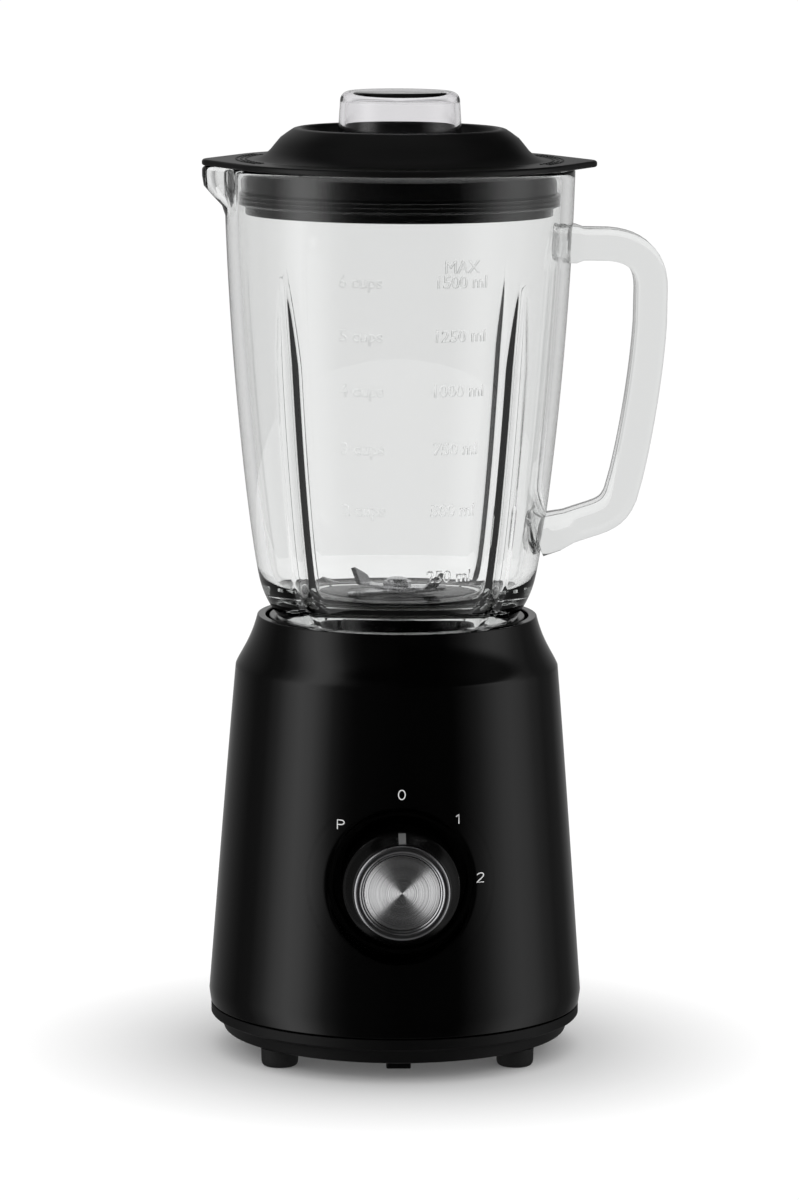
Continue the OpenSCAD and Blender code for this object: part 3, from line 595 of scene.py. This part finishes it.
def makeDialLabels(settings):
    size = settings["labelSize"]
    half, high = size * 0.38, size / 2
    middle, start, end = high * 0.02, (-half * 0.9, high * 0.62), (half * 0.95, high * 0.45)
    ring = [(half * 0.95 * math.sin(math.tau * i / 28), high * math.cos(math.tau * i / 28)) for i in range(29)]
    bowl = [(0, high)] + bezier((0, high), (half * 1.35, high), (half * 1.35, middle), (0, middle), 12)
    hook = [start] + bezier(start, (-half * 0.5, high * 1.15), (half * 1.15, high * 1.15), end, 10)
    hook += bezier(end, (half * 0.8, 0), (-half * 0.4, -high * 0.5), (-half, -high), 8)
    shapes = {
        "P": [[(-half * 0.9, -high), (-half * 0.9, high), (0, high)], bowl + [(-half * 0.9, middle)]],
        "0": [ring],
        "1": [[(-half * 0.7, high * 0.55), (half * 0.1, high), (half * 0.1, -high)]],
        "2": [hook + [(half * 1.05, -high)]],
    }
    marks = []
    for text, x, up in settings["labels"]:
        z = dialZ + up
        mark = strokes(shapes[text], settings["labelStroke"])
        for vert in mark.verts:
            px, pz = x + vert.co.x / mm, z + vert.co.y / mm
            front = min(shellFront(px, pz), recessSkin(px, pz)) + vert.co.z / mm * settings["labelDepth"]
            vert.co = Vector((px, -front, pz)) * mm
        marks.append(mark)
    makePiece(gathered(marks), "dialLabels", "whitePrint", "motor_base",
              weighted=False)


makeDial(dialSettings)
makeDialLabels(dialSettings)


# Jar

jarSettings = {
    "heel": ((49.3, 180.6), (51.5, 183), (54.6, 188), (56.2, 194)),
    "wall": ((56.2, 194), (59.7, 206.5), (69.7, 284), (71.4, 364)),
    "thickness": 5.2,
    "rim": 364,
    "steps": 400,
    "crowding": 0.7,         # how much the steps crowd towards the four ribs
    "ribTop": 321,
    "ribTaper": 34,
    "groove": {"depth": 1.1, "half": 5},
    "ridge": {"height": 1.7, "half": 7},
    "spout": {"reach": 8.9, "half": 14.5, "low": 345, "high": 358},
}
glassLine = [jarSettings["wall"][0]] + bezier(*jarSettings["wall"], 60)
heelLine = [jarSettings["heel"][0]] + bezier(*jarSettings["heel"], 8)[:-1]


def makeJarGlass(settings):
    rim, wall = settings["rim"], settings["thickness"]
    inner = [(r - wall, z) for r, z in glassLine if 200 < z < rim - 2.5]
    floor = bezier((35.9, 188.4), (42, 188.6), (51, 188.6), inner[0], 10)[:-1]
    outer = [p for p in glassLine if p[1] < rim - 2]
    outline = [(34.5, 163, 0.5), (44.5, 163, 0.8), (44.5, 178.8, 0.6), (46.3, 180.3, 0.5), *heelLine, *outer,
               (71.4, rim, 1.7), (71.4 - wall, rim, 1.5), *reversed(inner), *reversed(floor), (34.5, 188.2, 1.0)]
    glass = turned(outline, settings["steps"])
    for vert in glass.verts:
        angle = math.atan2(vert.co.y, vert.co.x)
        angle += settings["crowding"] / 4 * math.sin(4 * angle)
        radius = math.hypot(vert.co.x, vert.co.y)
        vert.co.x, vert.co.y = radius * math.cos(angle), radius * math.sin(angle)
    glass.normal_update()
    shapeRibs(glass, settings)
    shapeSpout(glass, settings["spout"])
    return glass


def shapeRibs(glass, settings):  # four ridges inside the wall, each with a groove outside it
    ridge, groove = settings["ridge"], settings["groove"]
    wholeLine = heelLine + glassLine
    for vert in glass.verts:
        x, y, z = vert.co / mm
        radius = math.hypot(x, y)
        taper = min(1, max(0, (settings["ribTop"] - z) / settings["ribTaper"]))
        if not taper or radius < 36 or z < 179.6:
            continue
        angle = math.degrees(math.atan2(y, x))
        offset = math.radians((angle % 90) - 45) * radius
        inside = z > 187.9 and radius < reach(wholeLine, z) - settings["thickness"] / 2
        if inside:
            half = ridge["half"] * taper ** 0.55
            height = ridge["height"] * taper ** 0.8 * blend(37, 44, radius)
        else:
            half = groove["half"] * taper ** 0.6
            height = -groove["depth"] * taper ** 0.75 * blend(179.6, 182, z)
        share = abs(offset) / half
        if share < 1:
            vert.co += vert.normal * crest(share) * height * mm


def crest(share):  # 1 in the middle of a ridge, 0 at its edge
    return 0.5 + 0.5 * math.cos(math.pi * share)


def shapeSpout(glass, spout):
    for vert in glass.verts:
        x, y, z = vert.co / mm
        away = abs(math.degrees(math.atan2(y, -x))) / spout["half"]
        if z < spout["low"] or away >= 1:
            continue
        push = spout["reach"] * crest(away) ** 0.8 * blend(spout["low"], spout["high"], z)
        radius = math.hypot(x, y)
        vert.co.x += x / radius * push * mm
        vert.co.y += y / radius * push * mm


handleSettings = {
    "path": [(66, 333), (72, 333), (75, 333)]
            + bezier((82, 333), (95, 333), (102.7, 328), (102.7, 315), 12)
            + bezier((102.8, 308), (102.4, 285), (97.2, 254), (93.4, 238), 10)
            + bezier((92.4, 233.5), (88.7, 221), (84, 222), (70, 217), 10) + [(64, 214.9), (57, 212.5)],
    "thick": 13,
    "wide": 21,
    "rounding": 3.6,
    "flare": 1.16,
}


def makeHandle(settings):
    path = [Vector((x, 0, z)) for x, z in settings["path"]]
    half = (settings["thick"] / 2, settings["wide"] / 2)
    bm = bmesh.new()
    signs = ((1, 1), (-1, 1), (-1, -1), (1, -1))
    corners = [bm.verts.new((sx * half[0] * mm, sy * half[1] * mm, 0)) for sx, sy in signs]
    for a, b in zip(corners, corners[1:] + corners[:1]):
        bm.edges.new((a, b))
    for corner in corners:
        bmesh.ops.bevel(bm, geom=[corner], offset=settings["rounding"] * mm, segments=6, profile=0.5,
                        affect="VERTICES", material=-1)
    section = bm.edges[:]
    last = Matrix()
    for i, spot in enumerate(path):
        ahead = (path[min(i + 1, len(path) - 1)] - path[max(i - 1, 0)]).normalized()
        side = Vector((0, 1, 0)).cross(ahead)
        ends = min(i, len(path) - 1 - i)
        size = settings["flare"] if ends < 2 else 1
        frameHere = Matrix((side * size, Vector((0, size, 0)), ahead)).transposed().to_4x4()
        frameHere.translation = spot * mm
        if i:
            grown = bmesh.ops.extrude_edge_only(bm, edges=section)["geom"]
            section = [g for g in grown if isinstance(g, bmesh.types.BMEdge)]
        verts = list({v for e in section for v in e.verts})
        bmesh.ops.transform(bm, matrix=frameHere @ last.inverted(), verts=verts)
        last = frameHere
    bmesh.ops.holes_fill(bm, edges=[e for e in bm.edges if e.is_boundary], sides=0)
    return tidied(bm)


jarGlass = carved(makeJarGlass(jarSettings), makeHandle(handleSettings), "UNION")
makePiece(jarGlass, "jarGlass", "clearGlass", "jar", ["jar", "jar_handle"],
          sharp=40, weighted=False)

markSettings = {
    "angle": 19,
    "cupAngle": -14.5,
    "height": 5,
    "thickness": 0.35,
    "raised": 0.27,         # middle of that thickness, above the glass
    "marks": (("MAX", 328.5), ("1500 ml", 322.5), ("1250 ml", 301), ("1000 ml", 279), ("750 ml", 255.5),
              ("500 ml", 230.5), ("250 ml", 203.5)),
    "cups": (("6 cups", 322.5), ("5 cups", 301), ("4 cups", 279), ("3 cups", 255.5), ("2 cups", 230.5)),
}


def makeScale(settings):
    marks = []
    for texts, angle in ((settings["marks"], settings["angle"]), (settings["cups"], settings["cupAngle"])):
        for text, height in texts:
            mark = letters(text, settings["height"], settings["thickness"], 0.08)
            for vert in mark.verts:
                x, up, out = vert.co / mm
                radius = reach(glassLine, height + up) + settings["raised"] + out
                turn = math.radians(angle) + x / radius
                vert.co = Vector((radius * math.sin(turn), -radius * math.cos(turn), height + up)) * mm
            marks.append(mark)
    makePiece(gathered(marks), "jarScale", "clearGlass", "jar", weighted=False)


makeScale(markSettings)

collarOutline = [(48.5, 143.3), (52.5, 143.3, 0.5), (52.5, 180.1, 0.5), (49.6, 180.1, 0.3), (46, 179.3),
                 (44.8, 178.3), (44.8, 157.4), (30, 157.4), (30, 154.4), (46, 154.4), (48.5, 151.9)]
notches = [moved(box((50.4, -4.4, 142), (56, 4.4, 158.9)), spun(turn)) for turn in keyTurns]
makePiece(carved(turned(collarOutline, 256), gathered(notches)), "jarCollar", "glossBlack",
          "jar", ["jar_collar"])

bladeBaseOutline = [(7.05, 160), (11.5, 160), (11.5, 183.6), (30.3, 183.6), (30.3, 157.5), (44.4, 157.5),
                    (44.4, 160.4), (33, 160.4), (33, 187.4, 1.0), (22, 187.4), (20.8, 187.0, 0.3),
                    (19.6, 187.0, 0.3), (18.4, 187.4), (9.05, 187.4, 0.3), (9.05, 183.4), (7.05, 183.4)]
makePiece(turned(bladeBaseOutline, 160), "bladeBase", "baseDisc", "jar", ["blade_base"])


# Blades

groundEdge = {"from": 12, "share": 0.78}
spindleBore = 3.05
bladeSettings = {
    "thick": 1.2,
    "upper": {"z": 190.8, "turn": -38, "bendAt": 15, "bend": 68, "bendRadius": 2.5, "ground": groundEdge,
              "outline": [(0, -5.5), (8, -5.5), (14, -4.8), (18, -4.6), (20.5, -3.4), (22.5, 0.5),
                          (24.6, 5.4), (21, 5), (18, 4.8), (12, 5.2), (8, 5.5), (0, 5.5)]},
    "lower": {"z": 188.9, "turn": 43, "bendAt": 11, "bend": -2, "bendRadius": 6, "ground": groundEdge,
              "outline": [(0, -5.5), (8, -5.5), (14, -5.3), (22, -4.4), (26, -3), (28.4, 0.5), (24.5, 2.6),
                          (18, 4.2), (12, 5.2), (8, 5.5), (0, 5.5)]},
}


def bent(bm, start, angle, radius):  # bends what lies beyond a line across X upwards
    limit = math.radians(abs(angle)) * radius
    sign = 1 if angle > 0 else -1
    for vert in bm.verts:
        x, y, z = vert.co / mm
        if x > start:
            along = min(x - start, limit)
            turn = along / radius
            rest = max(0, x - start - limit)
            nx = start + (radius - sign * z) * math.sin(turn) + rest * math.cos(turn)
            nz = sign * (radius - (radius - sign * z) * math.cos(turn) + rest * math.sin(turn))
            vert.co = Vector((nx, y, nz)) * mm
    return bm


def halfBlade(spec, thick):
    bm = bmesh.new()
    verts = [bm.verts.new((x * mm, y * mm, 0)) for x, y in spec["outline"]]
    bm.faces.new(verts)
    cuts = [((x * mm, 0, 0), (1, 0, 0)) for x in range(1, 28)] + [((0, 0, 0), (0, 1, 0))]
    for place, direction in cuts:
        bmesh.ops.bisect_plane(bm, geom=bm.verts[:] + bm.edges[:] + bm.faces[:], plane_co=place,
                               plane_no=direction)
    grown = bmesh.ops.extrude_face_region(bm, geom=bm.faces[:])["geom"]
    top = [g for g in grown if isinstance(g, bmesh.types.BMVert)]
    bmesh.ops.translate(bm, vec=(0, 0, thick * mm), verts=top)
    ground = spec["ground"]
    for vert in top:  # ground edge: the upper face is a little smaller past the centre
        if vert.co.x > ground["from"] * mm and abs(vert.co.y) > 1 * mm:
            vert.co.y *= ground["share"]
    bmesh.ops.recalc_face_normals(bm, faces=bm.faces[:])
    return bent(bm, spec["bendAt"], spec["bend"], spec["bendRadius"])


def makeBlade(name, spec, thick, node):
    halves = gathered([halfBlade(spec, thick), moved(halfBlade(spec, thick), spun(180))])
    bmesh.ops.remove_doubles(halves, verts=halves.verts[:], dist=0.01 * mm)
    inner = [f for f in halves.faces if all(abs(v.co.x) < 0.01 * mm for v in f.verts)]
    bmesh.ops.delete(halves, geom=inner, context="FACES_ONLY")
    bmesh.ops.recalc_face_normals(halves, faces=halves.faces[:])
    blade = carved(halves, drum(spindleBore, -2, 4))
    makePiece(moved(blade, shift(0, 0, spec["z"]), spun(spec["turn"])), name, "bladeSteel",
              "blades", [node], sharp=28)


makeBlade("upperBlade", bladeSettings["upper"], bladeSettings["thick"], "upper_blade")
makeBlade("lowerBlade", bladeSettings["lower"], bladeSettings["thick"], "lower_blade")

hexagon = moved(turned([(0, 192.1), (6, 192.1), (6, 194.7, 0.5), (0, 194.7)], 6), spun(15))
domed = turned([(0, 194.5), (4.6, 194.5), (4.2, 195.6, 0.6), (2.2, 196.2, 0.6), (0, 196.2)], 48)
nut = carved(carved(hexagon, domed, "UNION"), drum(spindleBore, 190, 195.1))
makePiece(nut, "bladeNut", "bladeSteel", "blades", ["blade_nut"], sharp=28)


# Lid and filler cap

lidSettings = {
    "flange": (364.2, 366.8),
    "flangeRadius": 73,
    "earReach": 80.3,
    "earRound": 12,
    "dome": [(58, 366.9), (54.5, 368.9), (52.6, 370.6), (50.6, 373.1), (48.5, 375.6), (45.2, 378),
             (43.2, 379.3, 0.5), (41.6, 379.7, 0.4), (40.4, 379.4, 0.4), (39, 378.2), (37.5, 373.2),
             (36, 372, 0.6)],
    "steps": 320,
    "crowding": 0.55,        # how much the steps crowd towards the two ears
    "dashes": {"rows": (62.4, 64.4, 66.4), "apart": 2.9, "stagger": 1.4, "perSide": 9},
    "seal": {"from": 349, "to": 354.4, "ribs": 3, "pitch": 1.75},
}


def flangeReach(angle, settings):  # radius of the flange, with an ear over the spout and one over the handle
    away = math.radians(min(abs(angle), abs(180 - abs(angle))))
    radius, end = settings["flangeRadius"], settings["earRound"]
    centre = settings["earReach"] - end
    tangent = math.acos((radius - end) / centre)
    if away >= tangent:
        return radius
    if away > math.atan2(end * math.sin(tangent), centre + end * math.cos(tangent)):
        return radius / math.cos(tangent - away)
    return centre * math.cos(away) + math.sqrt(end ** 2 - (centre * math.sin(away)) ** 2)


def makeLid(settings):
    low, top = settings["flange"]
    outer = settings["flangeRadius"]
    outline = [(61.6, 345.5, 0.4), (62.6, 345.5), (62.6, 354.6), (64, 354.6, 0.3), (64, low), (outer, low, 0.9),
               (outer, top, 1.1), (60.5, top), *settings["dome"], (26.2, 372, 0.5), (26.2, 363), (28.4, 363),
               (28.4, 369.7), (36.4, 369.7), (39.4, 371.3), (41, 377.3), (42.6, 377.3), (47.2, 374.5),
               (50.6, 369.3), (54.4, 365.1), (61.6, 363.9)]
    lid = turned(outline, settings["steps"])
    for vert in lid.verts:
        x, y, z = vert.co / mm
        radius, angle = math.hypot(x, y), math.atan2(y, x)
        angle -= settings["crowding"] / 2 * math.sin(2 * angle)
        if radius > 66 and z > low - 0.1:
            share = blend(66, outer - 1.2, radius)
            radius += share * (flangeReach(math.degrees(angle), settings) - outer)
        vert.co = Vector((radius * math.cos(angle), radius * math.sin(angle), z)) * mm
    makePiece(lid, "lid", "lidBlack", "lid", ["lid"], sharp=40)
    makeDashes(settings["dashes"], top)
    makeSeal(settings["seal"])


def makeDashes(settings, top):  # rows of raised dashes on both ears
    dashes = []
    rows = settings["rows"]
    for side in (0, 180):
        for row in rows:
            stagger = settings["stagger"] if row == rows[1] else 0
            for i in range(-settings["perSide"], settings["perSide"] + 1):
                dash = box((row - 0.45, -1.1, top - 0.3), (row + 0.45, 1.1, top + 0.28), 0.2)
                dashes.append(moved(dash, spun(side + i * settings["apart"] + stagger)))
    makePiece(gathered(dashes), "lidDashes", "satinBlack", "lid", weighted=False)


def makeSeal(settings):
    low, high = settings["from"], settings["to"]
    seal = [(62.65, low), (64.2, low, 0.2)]
    for i in range(settings["ribs"]):
        z = low + 0.5 + settings["pitch"] * i
        seal += [(64.6, z), (65.5, z + 0.3, 0.25), (65.5, z + 0.9, 0.25), (64.6, z + 1.2)]
    seal += [(64.2, high, 0.2), (62.65, high)]
    makePiece(turned(seal, 192), "lidSeal", "sealBlack", "lid", ["lid_seal"])


makeLid(lidSettings)

capOutline = [(0, 392.1), (21.8, 392.1, 2.4), (23.1, 372), (23.2, 360.5, 0.4), (25.8, 360.5, 0.5),
              (25.8, 372.1), (28, 372.1, 0.3), (28, 373.7, 0.5), (25.35, 374.3, 0.4), (24.1, 394.5, 3.6),
              (0, 394.5)]
makePiece(turned(capOutline, 160, 8), "fillerCap", "clearPlastic", "filler_cap",
          ["filler_cap"], sharp=40)


# What the other nodes are made of

def layeredFinish(name, shade, metallic, roughness, period, depth):
    # stacked sheets or wound wire: fine even lines up the piece
    finish = Finish(name, {"Metallic": metallic})
    height = finish.axes()[2]
    lines = finish.add("Math", {"operation": "SINE"}, {0: height * (math.tau / (period * mm))}) * 0.5 + 0.5
    cloud = finish.noise(90, 3)
    finish.look({
        "Base Color": finish.mix(lines * 0.6 + cloud * 0.4, [c * 0.6 for c in shade], shade),
        "Roughness": roughness + cloud * 0.15,
    })
    finish.bump(lines, depth)
    return finish


def mouldedFinish(name, shade, roughness, grain=1200, depth=0.00001):
    finish = Finish(name, {})
    cloud, fine = finish.noise(45, 3), finish.noise(grain, 3)
    finish.look({
        "Base Color": finish.mix(cloud, [c * 0.88 for c in shade], shade),
        "Roughness": roughness + fine * 0.12,
    })
    finish.bump(fine, depth)
    return finish


finishes.update({
    "zincPlate": metalFinish("zincPlate", (0.6, 0.6, 0.57), 0.32, (1, 1, 1), 500),
    "castAlloy": metalFinish("castAlloy", (0.5, 0.5, 0.51), 0.5, (1, 1, 1), 1400, 0.00003),
    "laminations": layeredFinish("laminations", (0.3, 0.31, 0.33), 1, 0.42, 0.5, 0.00006),
    "copperWinding": layeredFinish("copperWinding", (0.66, 0.3, 0.12), 1, 0.3, 0.8, 0.0001),
    "brassSheet": metalFinish("brassSheet", (0.7, 0.52, 0.2), 0.28, (0.1, 1, 1)),
    "oiledBronze": metalFinish("oiledBronze", (0.5, 0.35, 0.16), 0.42, (1, 1, 1), 2200, 0.00002),
    "turnedSteel": metalFinish("turnedSteel", (0.6, 0.6, 0.61), 0.24, (0.1, 0.1, 6), 700),
    "pressedCarbon": mouldedFinish("pressedCarbon", (0.05, 0.05, 0.05), 0.6, 1800, 0.00003),
    "phenolicResin": mouldedFinish("phenolicResin", (0.33, 0.27, 0.19), 0.4),
    "capacitorYellow": mouldedFinish("capacitorYellow", (0.72, 0.5, 0.09), 0.3),
    "wireRed": mouldedFinish("wireRed", (0.46, 0.05, 0.04), 0.42),
    "nylonWhite": mouldedFinish("nylonWhite", (0.76, 0.75, 0.71), 0.45),
    "siliconeWhite": mouldedFinish("siliconeWhite", (0.75, 0.74, 0.69), 0.55),
})
nodeFinishes = {
    "zincPlate": ["cover_screws", "switch_nut", "motor_mount_screws", "motor_through_bolts"],
    "castAlloy": ["motor_upper_bracket", "motor_lower_bracket"],
    "laminations": ["stator_core", "armature_core"],
    "copperWinding": ["field_coil_front", "field_coil_rear", "armature_winding", "commutator"],
    "brassSheet": ["brush_holders"],
    "oiledBronze": ["blade_bush"],
    "turnedSteel": ["upper_bearing", "lower_bearing", "brush_springs", "motor_shaft", "switch_spindle",
                    "blade_spindle", "blade_spacers", "thrust_washer"],
    "pressedCarbon": ["carbon_brushes"],
    "phenolicResin": ["rotary_switch"],
    "capacitorYellow": ["suppression_capacitor"],
    "wireRed": ["switch_leads"],
    "nylonWhite": ["cooling_fan", "driven_coupling"],
    "siliconeWhite": ["jar_gasket"],
    "rubberBlack": ["motor_dampers", "drive_coupler", "spindle_seal"],
}
for finishName, names in nodeFinishes.items():
    for name in names:
        materials = nodes[name].data.materials
        materials.clear()
        materials.append(finishes[finishName].material)
print("nodes finished")


# Studio

studioSettings = {
    "dome": 1.0,
    "floorShade": 0.8,
    "floorReach": 60,
    # painted light and shade: the floor's glow is weakest beside the base and strongest from 0.16 to 0.4 m out,
    # keeping its shadow dark close in and lifting it further out
    "floorGlow": [(0.085, 0.08), (0.16, 0.34), (0.4, 0.28), (1, 0.22)],  # by metres from the axis
    "tentRadius": 1.2,
    "tentLow": -1.2,
    "tentHigh": 2.3,
    # brightness round the tent, by angle from the camera's side in degrees, left of it below 0
    "tentStops": [(-180, 0.5), (-166, 0.28), (-147, 0.18), (-128, 0.11), (-114, 0.06), (-101, 0.09),
                  (-90, 0.29), (-80, 0.75), (-70, 1.1), (-61, 0.97), (-53, 0.58), (-45, 0.2), (-37, 0.08),
                  (-29, 0.03), (0, 0.01), (37, 0.01), (47, 0.1), (55, 0.21), (64, 0.44), (73, 0.64),
                  (82, 0.68), (93, 0.5), (104, 0.24), (118, 0.09), (134, 0.08), (163, 0.28), (180, 0.5)],
    # the same for what is seen through the glass, where it is brighter than the first
    "throughStops": [(-180, 0.92), (-148, 0.92), (-125, 0.4), (-100, 0.3), (-85, 0), (85, 0), (100, 0.3),
                     (125, 0.4), (148, 0.92), (180, 0.92)],
    "tentTop": {"left": 1.35, "right": 0.75},   # the right light ends lower
    "tentFade": 0.1,                            # half the height over which it ends
    "aboveLight": 0.12,                         # share of the light above that edge
    "tentEnds": 0.09,                           # brightness straight above and below
}


def makeWorld(settings):
    world = bpy.data.worlds.new("World")
    world.use_nodes = True
    background = world.node_tree.nodes["Background"]
    background.inputs["Color"].default_value = (1, 1, 1, 1)
    background.inputs["Strength"].default_value = settings["dome"]
    scene.world = world


def makeFloor(settings):
    bm = bmesh.new()
    bmesh.ops.create_grid(bm, x_segments=1, y_segments=1, size=settings["floorReach"])
    floor = bpy.data.objects.new("floor", toMesh(bm, "floor"))
    shade = settings["floorShade"]
    finish = Finish("floorWhite", {"Base Color": (shade, shade, shade, 1), "Roughness": 0.9,
                                   "Specular IOR Level": 0, "Emission Strength": 1})
    x, y = finish.axes()[:2]
    # painted light: a glow that changes with distance from the axis and shapes the floor's shadow round the base
    glow = finish.add("ValToRGB", {"stops": settings["floorGlow"]}, {0: (x * x + y * y) ** 0.5})
    finish.look({"Emission Color": glow})
    floor.data.materials.append(finish.material)
    scene.collection.objects.link(floor)
    floor.visible_glossy = False


def makeTent(settings):
    # a closed drum of soft light, seen only in reflections
    bm = drum(settings["tentRadius"] / mm, settings["tentLow"] / mm, settings["tentHigh"] / mm, 96)
    tent = bpy.data.objects.new("tent", toMesh(bm, "tent"))
    finish = Finish("tentLight", {}, "Emission")
    x, y, z = finish.axes()
    angle = finish.add("Math", {"operation": "ARCTAN2"}, {0: x, 1: 0 - y})
    band, behind = [
        finish.add("ValToRGB", {"stops": [(at / 360 + 0.5, value) for at, value in settings[stops]]},
                   {0: angle / math.tau + 0.5})
        for stops in ("tentStops", "throughStops")]
    isThrough = finish.add("LightPath", output=6)
    isRight = finish.add("Math", {"operation": "GREATER_THAN"}, {0: x, 1: 0})
    tops, fade = settings["tentTop"], settings["tentFade"]
    top = isRight * (tops["right"] - tops["left"]) + tops["left"]
    below = finish.add("MapRange", {"interpolation_type": "SMOOTHSTEP"},
                       {"Value": z - top, "From Min": fade, "From Max": -fade,
                        "To Min": settings["aboveLight"], "To Max": 1})
    radius = (x * x + y * y) ** 0.5
    isWall = finish.add("Math", {"operation": "GREATER_THAN"}, {0: radius, 1: settings["tentRadius"] * 0.99})
    lit = band * below * isWall + (1 - isWall) * settings["tentEnds"]
    strength = finish.add("Math", {"operation": "MAXIMUM"}, {0: lit, 1: behind * isThrough})
    finish.look({"Color": (1, 1, 1, 1), "Strength": strength})
    tent.data.materials.append(finish.material)
    scene.collection.objects.link(tent)
    for ray in ("camera", "diffuse", "volume_scatter", "shadow"):
        setattr(tent, "visible_" + ray, False)


makeWorld(studioSettings)
makeFloor(studioSettings)
makeTent(studioSettings)
scene.view_settings.view_transform = "Standard"
print("studio ready")
